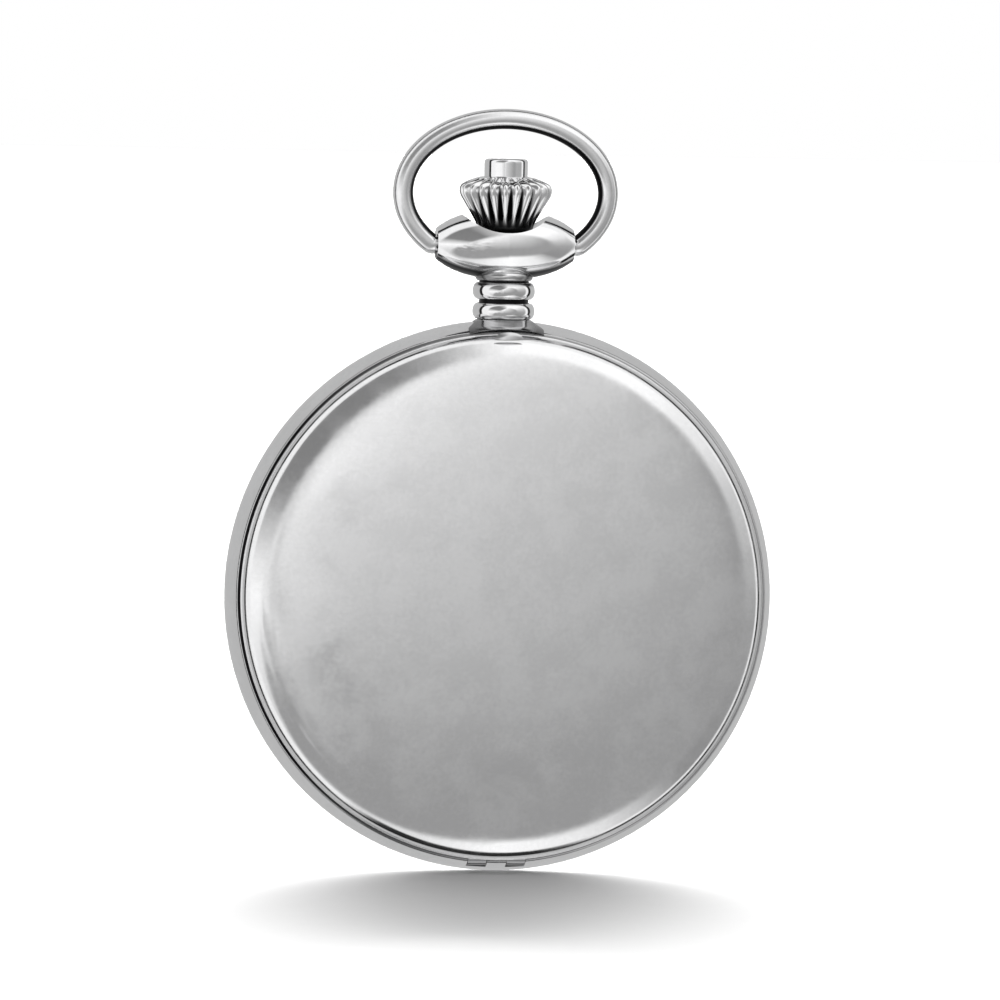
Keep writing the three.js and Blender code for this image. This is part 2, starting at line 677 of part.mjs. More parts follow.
function fourthWheel() {
  return join(
    wheel(TEETH.fourth, FOURTH_MODULE, phases.fourth, 0.25, 0.43),
    pinion(TEETH.fourthPinion, THIRD_MODULE, phases.fourth, -0.4, 0.3),
    arbor(0.28, -0.95, 1),
    rod(0.18, -4, -0.9, PIVOT_SIDES),
  );
}

function escapeWheel() {
  const step = TAU / TEETH.escape;
  const points = Array.from({ length: TEETH.escape }, (_, i) => {
    const angle = i * step;
    return [polar(1.95, angle - 0.16 * step), polar(2.5, angle), polar(2.5, angle + 0.07 * step),
      polar(1.95, angle + 0.24 * step)];
  }).flat();
  const shape = addSpokes(outline(points), 4, 0.7, 1.6, 0.35, 0);
  return join(
    plate(shape, -0.65, -0.47, 2), arbor(0.2, -0.95, 1),
    pinion(TEETH.escapePinion, FOURTH_MODULE, phases.escape, 0.15, 0.55),
  );
}

add('barrel_drum', barrelDrum(), 'brass', BARREL_AT);
add('barrel_cover', turned([[0.95, 0.8], [5.85, 0.8], [5.85, 0.98], [0.95, 0.98]], 28), 'brass',
  BARREL_AT);
add('mainspring', mainspringCoils, 'springSteel', BARREL_AT);
add('barrel_arbor', barrelArbor(), 'springSteel', BARREL_AT);
add('centre_wheel', centreWheel(), 'brass', CENTRE_AT);
add('third_wheel', thirdWheel(), 'brass', THIRD_AT);
add('fourth_wheel', fourthWheel(), 'brass', FOURTH_AT);
add('escape_wheel', escapeWheel(), 'springSteel', ESCAPE_AT);

// ---------------------------------------------------------------- lever and balance

function palletFork() {
  const lever = outline([[0, -0.25], [2.3, -0.17], [2.9, -0.4], [2.9, -0.2], [2.62, -0.16],
    [2.62, 0.16], [2.9, 0.2], [2.9, 0.4], [2.3, 0.17], [0, 0.25]]);
  const arms = outline([[0.35, 0], [0.1, -0.6], [-0.5, -2], [-1.15, -2.1], [-1.1, -1.75],
    [-0.75, -1.6], [-0.4, 0], [-0.75, 1.6], [-1.1, 1.75], [-1.15, 2.1], [-0.5, 2], [0.1, 0.6]]);
  const blade = (shape) => plate(shape, -0.62, -0.46);
  return join(
    blade(lever), blade(arms), rod(0.18, -0.95, 0, 10), rod(0.1, -1.35, 0.2, PIVOT_SIDES),
  );
}

function palletBridge() {
  const [x, z] = [PALLET_AT[0], PALLET_AT[1]];
  const bar = plate(link([x - 3.4, z - 3], 0.9, [x, z], 0.6), 0.08, 0.24);
  const post = rod(0.8, PLATE.high + 0.04, 0.2, 14).translate(x - 3.4, 0, z - 3);
  return cut(join(bar, post), pivotAt([x, z], -1, 1, 0.15));
}

function balanceWheel() {
  const rim = new THREE.Shape();
  rim.absarc(0, 0, BALANCE.radius, 0, TAU, false);
  addSpokes(rim, 3, 0.9, 4.65, 0.6, LEVER_ANGLE);
  const pinAngle = LEVER_ANGLE + Math.PI;
  const [px, pz] = polar(0.72, pinAngle);
  return join(
    plate(rim, 0.55, 0.92, 9),
    rod(0.95, -0.3, -0.14, 20), rod(0.3, -0.85, 1.35, 12), rod(0.5, 1, 1.24, 12),
    rod(0.11, -1.35, 1.75, PIVOT_SIDES), rod(0.1, -0.6, -0.2, 8).translate(px, 0, pz),
  );
}

const hairspringCoils = strip(
  Array.from({ length: 58 }, (_, i) => polar(0.8 + (i / 57) * 2.1, (i * TAU) / 13)),
  0.07, 1.05, 1.2,
);

function regulator() {
  const shape = link([0, 0], 1.5, polar(4.2, LEVER_ANGLE - 1.9), 0.25);
  shape.holes.push(roundHole(0, 0, 0.95));
  return plate(shape, COCK.high + 0.02, COCK.high + 0.2);
}

add('pallet_fork', palletFork(), 'springSteel', PALLET_AT, -LEVER_ANGLE);
add('pallet_bridge', palletBridge(), 'nickel');
add('balance_wheel', balanceWheel(), 'brass', BALANCE_AT);
add('hairspring', hairspringCoils, 'bluedSteel', BALANCE_AT);
add('regulator', regulator(), 'springSteel', BALANCE_AT);

// ---------------------------------------------------------------- winding and setting work

const WINDING_PHASE = Math.PI / 2;

function windingPinion() {
  const { windingPinion: teeth } = TEETH;
  const shape = gearOutline(teeth, WINDING_MODULE, WINDING_PHASE);
  shape.holes.push(roundHole(0, 0, 0.63));
  const settings = { depth: 1, bevelEnabled: false, curveSegments: 4 };
  return new THREE.ExtrudeGeometry(shape, settings).translate(0, 0, 15.6);
}

function castleWheel() {
  const shape = gearOutline(10, 0.27, 0);
  shape.holes.push(roundHole(0, 0, 0.64));
  const settings = { depth: 0.7, bevelEnabled: false, curveSegments: 4 };
  const teeth = new THREE.ExtrudeGeometry(shape, settings);
  return join(teeth.translate(0, 0, 13), turnedAlongZ([
    [0.64, 13.6], [1.2, 13.6], [0.95, 14], [0.95, 14.5], [1.5, 14.6], [1.5, 15.5],
    [0.64, 15.5],
  ], 14));
}

const WINDING_WHEEL = { low: 1.95, high: 2.3 };

function windingWheel(teeth, phase, bore) {
  const shape = gearOutline(teeth, WINDING_MODULE, phase);
  shape.holes.push(roundHole(0, 0, bore));
  return plate(shape, WINDING_WHEEL.low, WINDING_WHEEL.high);
}

const crownWheelPhase = Math.PI / 2 + Math.PI / TEETH.crownWheel;
const ratchetPhase = meshPhase(
  TEETH.crownWheel, crownWheelPhase, CROWN_WHEEL_AT, TEETH.ratchet, BARREL_AT,
);
const wheelScrew = (headRadius, shankRadius, low) => cut(
  join(rod(headRadius, WINDING_WHEEL.high + 0.03, WINDING_WHEEL.high + 0.35, 20),
    rod(shankRadius, low, WINDING_WHEEL.high + 0.1, 14)),
  block([-3, 3], [WINDING_WHEEL.high + 0.2, 3], [-0.15, 0.15]),
);

const CLICK_AT = [-13.4, 1.9];
const CLICK_BEAK = towards(BARREL_AT, [-13.6, 6.2], 6.05);

function clickSpring() {
  const wire = new THREE.CatmullRomCurve3([
    [-11.4, -0.2], [-13.2, -0.3], [-15.2, 0.8], [-15.6, 2.6], [-15.05, 4],
  ].map(([x, z]) => new THREE.Vector3(x, 2.1, z)));
  return join(tube(wire, 0.12, 12, 5), rod(0.5, 1.94, 2.3, 10).translate(-11.4, 0, -0.2));
}

const SETTING_LEVER_AT = [4.9, 16.6];

function click() {
  const shape = link(CLICK_AT, 0.85, CLICK_BEAK, 0.3);
  shape.holes.push(roundHole(...CLICK_AT, 0.3));
  return plate(shape, WINDING_WHEEL.low, WINDING_WHEEL.high - 0.05);
}

function settingLever() {
  const arm = plate(link(SETTING_LEVER_AT, 0.7, [0, 17.8], 0.3), -1.05, -0.8);
  return join(arm, rod(0.16, -0.9, -0.45, 8).translate(0, 0, 17.8));
}

add('winding_pinion', windingPinion(), 'springSteel');
add('castle_wheel', castleWheel(), 'springSteel');
add('crown_wheel', windingWheel(TEETH.crownWheel, crownWheelPhase, 0.9), 'polishedSteel',
  CROWN_WHEEL_AT);
add('crown_wheel_screw', wheelScrew(1.7, 0.8, 1.95), 'bluedSteel', CROWN_WHEEL_AT);
add('ratchet_wheel', windingWheel(TEETH.ratchet, ratchetPhase, 0.8), 'polishedSteel', BARREL_AT);
add('ratchet_screw', wheelScrew(1.6, 0.6, 2.05), 'bluedSteel', BARREL_AT);
add('click', click(), 'polishedSteel');
add('click_spring', clickSpring(), 'springSteel');
add('setting_lever', settingLever(), 'springSteel');

// ---------------------------------------------------------------- motion work and hands

function cannonPinion() {
  const teeth = pinion(TEETH.cannon, MINUTE_MODULE, phases.centre, -2.85, -2.35);
  const pipe = rod(0.6, -4.5, -2.4, 14);
  return cut(join(teeth, pipe), rod(0.35, -5, -2, 12));
}

function minuteWheel() {
  return join(
    wheel(TEETH.minute, MINUTE_MODULE, phases.minute, -2.75, -2.55, 0),
    pinion(TEETH.minutePinion, HOUR_MODULE, phases.minute, -3.15, -2.7),
    rod(0.17, -2.8, -1.3, PIVOT_SIDES),
  );
}

function hourWheel() {
  const teeth = pinion(TEETH.hour, HOUR_MODULE, phases.hour, -3.15, -2.95);
  return cut(join(teeth, rod(1, -4.2, -3, 16)), rod(0.68, -5, -2, 14));
}

// A tapered hand with a round boss, drawn pointing at twelve.
function hand(length, tail, halfWidth, boss, bore, low, high) {
  const blade = outline([[halfWidth, 0], [halfWidth * 1.15, length * 0.45], [0.06, length],
    [-0.06, length], [-halfWidth * 1.15, length * 0.45], [-halfWidth, 0],
    [-halfWidth * 0.9, -tail], [halfWidth * 0.9, -tail]]);
  const disc = rod(boss, low, high, 20);
  return cut(join(plate(blade, low, high), disc), rod(bore, low - 1, high + 1, 14));
}

const minuteAngle = (HANDS_AT.minutes / 60) * TAU;
const hourAngle = ((HANDS_AT.hours + HANDS_AT.minutes / 60) / 12) * TAU;

add('cannon_pinion', cannonPinion(), 'springSteel');
add('minute_wheel', minuteWheel(), 'brass', MINUTE_AT);
add('hour_wheel', hourWheel(), 'brass');
add('minute_hand', hand(16, 3, 0.5, 1.1, 0.64, -4.48, -4.34), 'blackHand', CENTRE_AT, minuteAngle);
add('hour_hand', hand(10.3, 2.6, 0.65, 1.35, 1.04, -4.18, -4.04), 'blackHand', CENTRE_AT, hourAngle);
add('seconds_hand', hand(3.6, 1.3, 0.16, 0.42, 0.2, -3.98, -3.88), 'blackHand', FOURTH_AT);

export default watch;
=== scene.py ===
"""Open face pocket watch: fine case parts, materials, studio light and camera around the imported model.

Metres. +Z is twelve o'clock, the back cover faces +Y and the dial faces -Y. Profiles below are in
millimetres from the centre of the round case, which is at the height CASE_Z in the frame.
"""

import json
import math

import bmesh
import bpy
from mathutils import Matrix, Vector


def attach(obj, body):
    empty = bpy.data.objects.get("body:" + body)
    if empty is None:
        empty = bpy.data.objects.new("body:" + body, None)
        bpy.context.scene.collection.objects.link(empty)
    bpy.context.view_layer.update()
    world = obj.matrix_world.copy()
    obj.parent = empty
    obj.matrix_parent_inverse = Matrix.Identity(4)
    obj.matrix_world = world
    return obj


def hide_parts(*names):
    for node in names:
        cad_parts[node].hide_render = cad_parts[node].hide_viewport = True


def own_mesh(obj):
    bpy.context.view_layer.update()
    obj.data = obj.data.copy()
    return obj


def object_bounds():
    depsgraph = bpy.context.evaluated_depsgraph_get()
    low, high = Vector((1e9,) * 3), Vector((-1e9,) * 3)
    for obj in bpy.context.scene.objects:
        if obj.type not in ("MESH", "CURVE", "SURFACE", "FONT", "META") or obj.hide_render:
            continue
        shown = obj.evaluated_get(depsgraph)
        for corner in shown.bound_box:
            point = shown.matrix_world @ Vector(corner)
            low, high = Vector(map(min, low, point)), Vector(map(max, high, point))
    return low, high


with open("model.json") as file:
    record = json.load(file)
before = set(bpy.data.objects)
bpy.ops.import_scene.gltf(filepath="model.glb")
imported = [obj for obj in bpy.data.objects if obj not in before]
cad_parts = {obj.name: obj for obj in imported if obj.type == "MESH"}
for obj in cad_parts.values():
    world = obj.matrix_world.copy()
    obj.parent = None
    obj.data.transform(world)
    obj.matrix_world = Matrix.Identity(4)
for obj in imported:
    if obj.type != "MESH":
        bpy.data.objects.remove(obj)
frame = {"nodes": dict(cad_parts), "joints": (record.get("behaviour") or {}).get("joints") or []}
cad_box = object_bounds()

MM = 0.001
TAU = 2 * math.pi
ROUND = 180


def joint_at(name, level=0.0):
    """Where a joint of the frame turns, as (x, y, z) in millimetres, with z counted from a level."""
    joint = next(j for j in frame["joints"] if j["name"] == name)
    x, y, z = (value / MM for value in joint["pos_m"])
    return round(x, 3), round(y, 3), round(z - level, 3)


CASE_Z = joint_at("centre_turn")[2]
FLOOR_Z = round(cad_box[0][2] / MM, 3)
FOURTH_AT = joint_at("fourth_turn", CASE_Z)[::2]
BARREL_AT = joint_at("barrel_turn", CASE_Z)[::2]
CROWN_WHEEL_AT = joint_at("crown_wheel_turn", CASE_Z)[::2]
HINGE_Y, HINGE_Z = joint_at("back_cover_hinge", CASE_Z)[1:]
HEAD_Z = joint_at("bow_hinge", CASE_Z)[2]

COVER_KNUCKLES = ((-2.5, -0.9), (0.9, 2.5))
BOW_Z, BOW_HALF_WIDTH, BOW_HALF_HEIGHT, WIRE_RADIUS = 35.06, 9.0, 6.44, 0.88
DIAL_FRONT = -3.7

# The direction from the watch to the middle of the studio's graded sheet, and the light of a full card.
SHEET_AT = (-0.139, 0.989, -0.044)
CARD_LIGHT = 1.6


# ------------------------------------------------------------------ mesh helpers


def height(z):
    """A height in case millimetres as a height of the frame in metres."""
    return (z + CASE_Z) * MM


def place(x, y, z):
    """A point in case millimetres as a point of the frame in metres."""
    return Vector((x * MM, y * MM, height(z)))


def new_object(name, vertices, faces, sharp=32.0):
    mesh = bpy.data.meshes.new(name)
    mesh.from_pydata([place(*v) for v in vertices], [], faces)
    tool = bmesh.new()
    tool.from_mesh(mesh)
    bmesh.ops.recalc_face_normals(tool, faces=tool.faces)
    tool.to_mesh(mesh)
    tool.free()
    return show_mesh(name, mesh, sharp)


def smooth_shading(mesh, sharp=32.0):
    mesh.shade_smooth()
    mesh.set_sharp_from_angle(angle=math.radians(sharp))


def show_mesh(name, mesh, sharp=32.0):
    smooth_shading(mesh, sharp)
    obj = bpy.data.objects.new(name, mesh)
    bpy.context.scene.collection.objects.link(obj)
    return obj


def smooth_run(points, steps=6):
    """A Catmull-Rom curve through the given (radius, height) points."""
    run = []
    ends = [points[0], *points, points[-1]]
    for a, b, c, d in zip(ends, ends[1:], ends[2:], ends[3:]):
        for i in range(steps):
            t = i / steps
            run.append(tuple(
                0.5 * (2 * q + (r - p) * t + (2 * p - 5 * q + 4 * r - s) * t * t
                       + (3 * q - p - 3 * r + s) * t ** 3)
                for p, q, r, s in zip(a, b, c, d)
            ))
    return [*run, points[-1]]


AXES = {
    "Y": lambda r, h, a: (r * math.cos(a), h, r * math.sin(a)),
    "Z": lambda r, h, a: (r * math.cos(a), r * math.sin(a), h),
    "X": lambda r, h, a: (h, r * math.cos(a), r * math.sin(a)),
}


def lathe(name, profile, axis="Y", segments=ROUND, centre=(0, 0, 0), sharp=32.0):
    """Revolves (radius, height) pairs. A profile that leaves the axis at both ends closes on itself."""
    vertices, rows, faces = [], [], []
    for radius, along in profile:
        count = 1 if radius < 1e-6 else segments
        rows.append([len(vertices) + i for i in range(count)])
        for i in range(count):
            x, y, z = AXES[axis](radius, along, i * TAU / segments)
            vertices.append((x + centre[0], y + centre[1], z + centre[2]))
    pairs = list(zip(rows, rows[1:]))
    if profile[0][0] > 1e-6 and profile[-1][0] > 1e-6:
        pairs.append((rows[-1], rows[0]))
    for low, high in pairs:
        for i in range(segments):
            j = (i + 1) % segments
            corners = [low[i % len(low)], low[j % len(low)], high[j % len(high)], high[i % len(high)]]
            face = list(dict.fromkeys(corners))
            if len(face) > 2:
                faces.append(face)
    return new_object(name, vertices, faces, sharp)


def cylinder(name, radius, low, high, axis="Y", centre=(0, 0, 0), segments=48):
    return lathe(name, [(0, low), (radius, low), (radius, high), (0, high)], axis, segments, centre)


def slab(name, x, y, z):
    corners = [(a, b, c) for a in x for b in y for c in z]
    faces = [(0, 1, 3, 2), (4, 6, 7, 5), (0, 4, 5, 1), (2, 3, 7, 6), (0, 2, 6, 4), (1, 5, 7, 3)]
    return new_object(name, corners, faces)


def combine(target, tool, operation):
    modifier = target.modifiers.new("combine", "BOOLEAN")
    modifier.object = tool
    modifier.operation = operation
    modifier.solver = "EXACT"
    evaluated = target.evaluated_get(bpy.context.evaluated_depsgraph_get())
    mesh = bpy.data.meshes.new_from_object(evaluated)
    target.modifiers.clear()
    target.data = mesh
    smooth_shading(mesh)
    bpy.data.objects.remove(tool)
    return target


def cut(target, *tools):
    for tool in tools:
        combine(target, tool, "DIFFERENCE")
    return target


def join(target, *tools):
    for tool in tools:
        combine(target, tool, "UNION")
    return target


def soften(obj, width):
    """Breaks the sharp edges by a small round of the given millimetres."""
    bevel = obj.modifiers.new("edge", "BEVEL")
    bevel.width = width * MM
    bevel.segments = 2
    bevel.limit_method = "ANGLE"
    bevel.angle_limit = math.radians(35)
    bevel.harden_normals = True
    return obj


def stands_for(obj, body, slot, material, *nodes):
    """Gives a piece its finish and its body, and hides the CAD nodes that it replaces."""
    obj.data.materials.clear()
    obj.data.materials.append(material)
    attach(obj, body)
    if nodes:
        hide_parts(*nodes)
    return obj


# ------------------------------------------------------------------ node helpers


class Tree:
    """Short names for building a material's or the world's nodes."""

    def __init__(self, owner):
        owner.use_nodes = True
        self.tree = owner.node_tree
        self.tree.nodes.clear()

    def node(self, kind, **settings):
        made = self.tree.nodes.new(kind)
        for name, value in settings.items():
            setattr(made, name, value)
        return made

    def feed(self, socket, value):
        if isinstance(value, bpy.types.NodeSocket):
            self.tree.links.new(value, socket)
        else:
            socket.default_value = value

    def math(self, operation, *values):
        made = self.node("ShaderNodeMath", operation=operation)
        for socket, value in zip(made.inputs, values):
            self.feed(socket, value)
        return made.outputs[0]

    def hypot(self, a, b):
        squares = self.math("ADD", self.math("MULTIPLY", a, a), self.math("MULTIPLY", b, b))
        return self.math("SQRT", squares)

    def remap(self, value, low, high, to_low, to_high, kind="LINEAR"):
        made = self.node("ShaderNodeMapRange", interpolation_type=kind)
        for socket, item in zip(made.inputs, (value, low, high, to_low, to_high)):
            self.feed(socket, item)
        return made.outputs[0]

    def mix(self, factor, a, b):
        made = self.node("ShaderNodeMix", data_type="RGBA")
        self.feed(made.inputs[0], factor)
        self.feed(made.inputs[6], a)
        self.feed(made.inputs[7], b)
        return made.outputs[2]

    def noise(self, scale, detail=3.0, vector=None, roughness=0.5, stretch=None):
        made = self.node("ShaderNodeTexNoise")
        made.inputs["Scale"].default_value = scale
        made.inputs["Detail"].default_value = detail
        made.inputs["Roughness"].default_value = roughness
        source = vector or self.here()
        if stretch:
            mapping = self.node("ShaderNodeMapping")
            mapping.inputs["Scale"].default_value = stretch
            self.feed(mapping.inputs["Vector"], source)
            source = mapping.outputs[0]
        self.feed(made.inputs["Vector"], source)
        return made.outputs[0]

    def here(self):
        return self.node("ShaderNodeTexCoord").outputs["Object"]

    def split(self, vector):
        made = self.node("ShaderNodeSeparateXYZ")
        self.feed(made.inputs[0], vector)
        return made.outputs

    def bump(self, height, distance, strength=1.0, normal=None):
        made = self.node("ShaderNodeBump")
        made.inputs["Strength"].default_value = strength
        made.inputs["Distance"].default_value = distance
        self.feed(made.inputs["Height"], height)
        if normal is not None:
            self.feed(made.inputs["Normal"], normal)
        return made.outputs[0]


def shade(tree, color, roughness, metallic=1.0, normal=None, **extra):
    shader = tree.node("ShaderNodeBsdfPrincipled")
    tree.feed(shader.inputs["Base Color"], color)
    tree.feed(shader.inputs["Roughness"], roughness)
    shader.inputs["Metallic"].default_value = metallic
    if normal is not None:
        tree.feed(shader.inputs["Normal"], normal)
    for name, value in extra.items():
        shader.inputs[name].default_value = value
    output = tree.node("ShaderNodeOutputMaterial")
    tree.tree.links.new(shader.outputs[0], output.inputs["Surface"])
    return shader


def tone(color, factor):
    return (*[min(1.0, c * factor) for c in color], 1.0)


# ------------------------------------------------------------------ materials


# Near-black painted shade, for hollows, seams and undersides where shade and dark reflections fall.
PAINTED_SHADE_TONE = (0.012, 0.012, 0.013, 1)
LINES_PER_RADIAN = 260 / 6


def polished_steel(name, rough=(0.05, 0.1), cloud=0.03, wave=0.00001, find_painted_shade=None, shade_tone=PAINTED_SHADE_TONE):
    """Mirror-polished steel with hazy patches, hairline wipe marks and a very slight ripple.

    It turns to a dark colour of painted shade where the given mask gives 1.
    """
    material = bpy.data.materials.new(name)
    tree = Tree(material)
    haze = tree.noise(210.0, 5.0, roughness=0.62)
    patches = tree.remap(haze, 0.36, 0.66, 0.0, 1.0, "SMOOTHSTEP")
    specks = tree.remap(tree.noise(2600.0, 3.0, roughness=0.7), 0.35, 0.65, -0.3, 0.3)
    steel_tone = (0.80, 0.80, 0.805)
    shift = tree.math("ADD", patches, specks)
    base = tree.mix(shift, tone(steel_tone, 1 - cloud), tone(steel_tone, 1 + cloud))
    wipes = tree.noise(900.0, 2.0, stretch=(1.0, 1.0, 14.0))
    gloss = tree.math("ADD", tree.remap(patches, 0, 1, *rough), tree.remap(wipes, 0.5, 0.75, 0, 0.03))
    # Painted shade: the steel darkens where the mask marks shade or a dark reflection.
    if find_painted_shade:
        painted_shade = find_painted_shade(tree)
        base = tree.mix(painted_shade, base, shade_tone)
        gloss = tree.remap(painted_shade, 0.0, 1.0, gloss, 0.35)
    ripple = tree.bump(tree.noise(230.0, 3.0, roughness=0.55), wave, 0.5)
    normal = tree.bump(wipes, 0.0000012, 0.5, ripple)
    shade(tree, base, gloss, normal=normal)
    return material


def at_cover_seam(tree):
    """Painted shade along the band's edges, where a cover closes on it, darker on one side."""
    x, y, z = tree.split(tree.here())
    radius = tree.hypot(x, tree.math("SUBTRACT", z, height(0)))
    outer = tree.remap(radius, 23.09 * MM, 23.16 * MM, 1.0, 0.0)
    inner = tree.remap(radius, 22.86 * MM, 22.9 * MM, 0.0, 1.0)
    near = tree.remap(tree.math("ABSOLUTE", y), 2.1 * MM, 2.2 * MM, 0.0, 1.0)
    seam = tree.math("MULTIPLY", tree.math("MULTIPLY", outer, inner), near)
    return tree.math("MULTIPLY", seam, tree.remap(x, -12 * MM, 18 * MM, 0.4, 1.0))


def at_hinge(tree):
    """Painted shade on the cover's knuckles, below its seat."""
    _, y, z = tree.split(tree.here())
    below = tree.remap(y, 2.45 * MM, 2.49 * MM, 1.0, 0.0)
    return tree.math("MULTIPLY", below, tree.remap(z, height(-22.2), height(-22.0), 1.0, 0.0))


def in_neck_grooves(tree):
    """Painted shade in the grooves between the neck's rings, painted dark reflections at the corners of its
    foot, and painted shade on the head's underside.
    """
    x, y, z = tree.split(tree.here())
    radius = tree.hypot(x, y)
    deep = tree.remap(radius, 2.19 * MM, 2.32 * MM, 1.0, 0.0, "SMOOTHSTEP")
    base = tree.remap(z, height(24.0), height(24.1), 0.0, 1.0)
    top = tree.remap(z, height(27.9), height(27.8), 0.0, 1.0)
    grooves = tree.math("MULTIPLY", deep, tree.math("MULTIPLY", base, top))
    beside = tree.remap(tree.math("ABSOLUTE", x), 1.3 * MM, 2.8 * MM, 0.25, 0.75, "SMOOTHSTEP")
    low = tree.remap(z, height(24.2), height(23.9), 0.0, 1.0)
    foot = tree.math("MULTIPLY", beside, low)
    drop = tree.math("SUBTRACT", height(HEAD_Z), z)
    downward = tree.math("DIVIDE", drop, tree.hypot(drop, y))
    share = tree.remap(downward, 0.7, 0.84, 0.0, 0.97, "SMOOTHSTEP")
    head = tree.remap(radius, 2.2 * MM, 2.6 * MM, 0.0, 1.0)
    above = tree.remap(z, height(26.9), height(27.4), 0.0, 1.0)
    under = tree.math("MULTIPLY", share, tree.math("MULTIPLY", head, above))
    return tree.math("MAXIMUM", tree.math("MAXIMUM", grooves, foot), under)


def inside_bow(tree):
    """A painted dark reflection on the inner side of the oval ring, by how far a point lies inside the
    middle of the wire.
    """
    x, _, z = tree.split(tree.here())
    u = tree.math("DIVIDE", x, BOW_HALF_WIDTH * MM)
    v = tree.math("DIVIDE", tree.math("SUBTRACT", z, height(BOW_Z)), BOW_HALF_HEIGHT * MM)
    span = tree.hypot(tree.math("MULTIPLY", u, BOW_HALF_WIDTH), tree.math("MULTIPLY", v, BOW_HALF_HEIGHT))
    inset = tree.math("SUBTRACT", tree.math("DIVIDE", span, tree.hypot(u, v)), span)
    return tree.remap(inset, 0.5, 0.62, 0.0, 1.0, "SMOOTHSTEP")


def between_flutes(tree):
    """Painted shade in the crown's valleys, from its valley measure, darker towards the pendant."""
    valley = tree.node("ShaderNodeAttribute", attribute_name="valley").outputs["Fac"]
    _, _, z = tree.split(tree.here())
    low = tree.remap(z, height(32.2), height(35.6), 0.9, -0.25)
    return tree.remap(tree.math("ADD", valley, low), 0.55, 0.95, 0.0, 1.0, "SMOOTHSTEP")


def turned_metal(name, color, at, rough=(0.16, 0.34)):
    """Steel or brass with fine lines that run out from the middle of a wheel."""
    material = bpy.data.materials.new(name)
    tree = Tree(material)
    x, _, z = tree.split(tree.here())
    dx = tree.math("SUBTRACT", x, at[0] * MM)
    dz = tree.math("SUBTRACT", z, height(at[1]))
    angle = tree.math("ARCTAN2", dz, dx)
    made = tree.node("ShaderNodeCombineXYZ")
    tree.feed(made.inputs[0], angle)
    lines = tree.noise(LINES_PER_RADIAN, 3.0, vector=made.outputs[0])
    grain = tree.noise(2600.0, 2.0)
    base = tree.mix(lines, tone(color, 0.86), tone(color, 1.08))
    gloss = tree.remap(lines, 0.3, 0.7, *rough)
    normal = tree.bump(lines, 0.000004, 0.6, tree.bump(grain, 0.000002, 0.3))
    shade(tree, base, gloss, normal=normal)
    return material


def plain_metal(name, color, rough=(0.14, 0.3), scale=1500.0):
    """Lightly grained metal with small tone changes."""
    material = bpy.data.materials.new(name)
    tree = Tree(material)
    grain = tree.noise(scale, 4.0, roughness=0.6)
    broad = tree.noise(300.0, 2.0)
    base = tree.mix(broad, tone(color, 0.88), tone(color, 1.1))
    shade(tree, base, tree.remap(grain, 0.3, 0.7, *rough), normal=tree.bump(grain, 0.000003, 0.5))
    return material


def striped_nickel(name, color):
    """Nickel with broad parallel stripes, as on finished bridges."""
    material = bpy.data.materials.new(name)
    tree = Tree(material)
    x, _, z = tree.split(tree.here())
    across = tree.math("ADD", tree.math("MULTIPLY", x, 0.8), tree.math("MULTIPLY", z, 0.6))
    band = tree.math("FRACT", tree.math("MULTIPLY", across, 520.0))
    made = tree.node("ShaderNodeCombineXYZ")
    tree.feed(made.inputs[0], tree.math("MULTIPLY", band, 40.0))
    lines = tree.noise(30.0, 2.0, vector=made.outputs[0])
    light = tree.mix(band, tone(color, 0.72), tone(color, 1.16))
    grain = tree.noise(3000.0, 2.0)
    normal = tree.bump(band, 0.00003, 0.5, tree.bump(lines, 0.000003, 0.5))
    shade(tree, light, tree.remap(grain, 0.3, 0.7, 0.2, 0.34), normal=normal)
    return material


def spotted_nickel(name, color):
    """Nickel with overlapping round grinding spots, as on a main plate."""
    material = bpy.data.materials.new(name)
    tree = Tree(material)
    cells = tree.node("ShaderNodeTexVoronoi", feature="F1")
    cells.inputs["Scale"].default_value = 850.0
    cells.inputs["Randomness"].default_value = 0.15
    tree.feed(cells.inputs["Vector"], tree.here())
    rings = tree.math("FRACT", tree.math("MULTIPLY", cells.outputs["Distance"], 6.0))
    base = tree.mix(cells.outputs["Distance"], tone(color, 1.1), tone(color, 0.78))
    shade(tree, base, tree.remap(rings, 0, 1, 0.22, 0.36), normal=tree.bump(rings, 0.000004, 0.5))
    return material


def blued_steel(name):
    """Steel tempered to a dark blue that drifts a little in tone."""
    material = bpy.data.materials.new(name)
    tree = Tree(material)
    drift = tree.noise(420.0, 3.0)
    base = tree.mix(drift, (0.012, 0.045, 0.22, 1), (0.05, 0.11, 0.42, 1))
    shade(tree, base, tree.remap(drift, 0.3, 0.7, 0.12, 0.22), normal=tree.bump(drift, 0.000002, 0.3))
    return material


def ruby(name):
    """Polished synthetic ruby with faint growth swirls."""
    material = bpy.data.materials.new(name)
    tree = Tree(material)
    swirl = tree.noise(700.0, 3.0)
    base = tree.mix(swirl, (0.34, 0.008, 0.045, 1), (0.72, 0.03, 0.13, 1))
    extra = {"IOR": 1.76, "Coat Weight": 0.6, "Coat Roughness": 0.03}
    shade(tree, base, tree.remap(swirl, 0.3, 0.7, 0.04, 0.1), 0.0, **extra)
    return material


def clear_glass(name):
    """Clear glass with a trace of dust."""
    material = bpy.data.materials.new(name)
    tree = Tree(material)
    dust = tree.noise(1300.0, 4.0, roughness=0.7)
    tint = tree.mix(tree.noise(60.0, 2.0), (0.985, 0.99, 0.99, 1), (1, 1, 1, 1))
    extra = {"IOR": 1.47, "Transmission Weight": 1.0}
    shade(tree, tint, tree.remap(dust, 0.62, 0.8, 0.0, 0.02), 0.0, **extra)
    return material


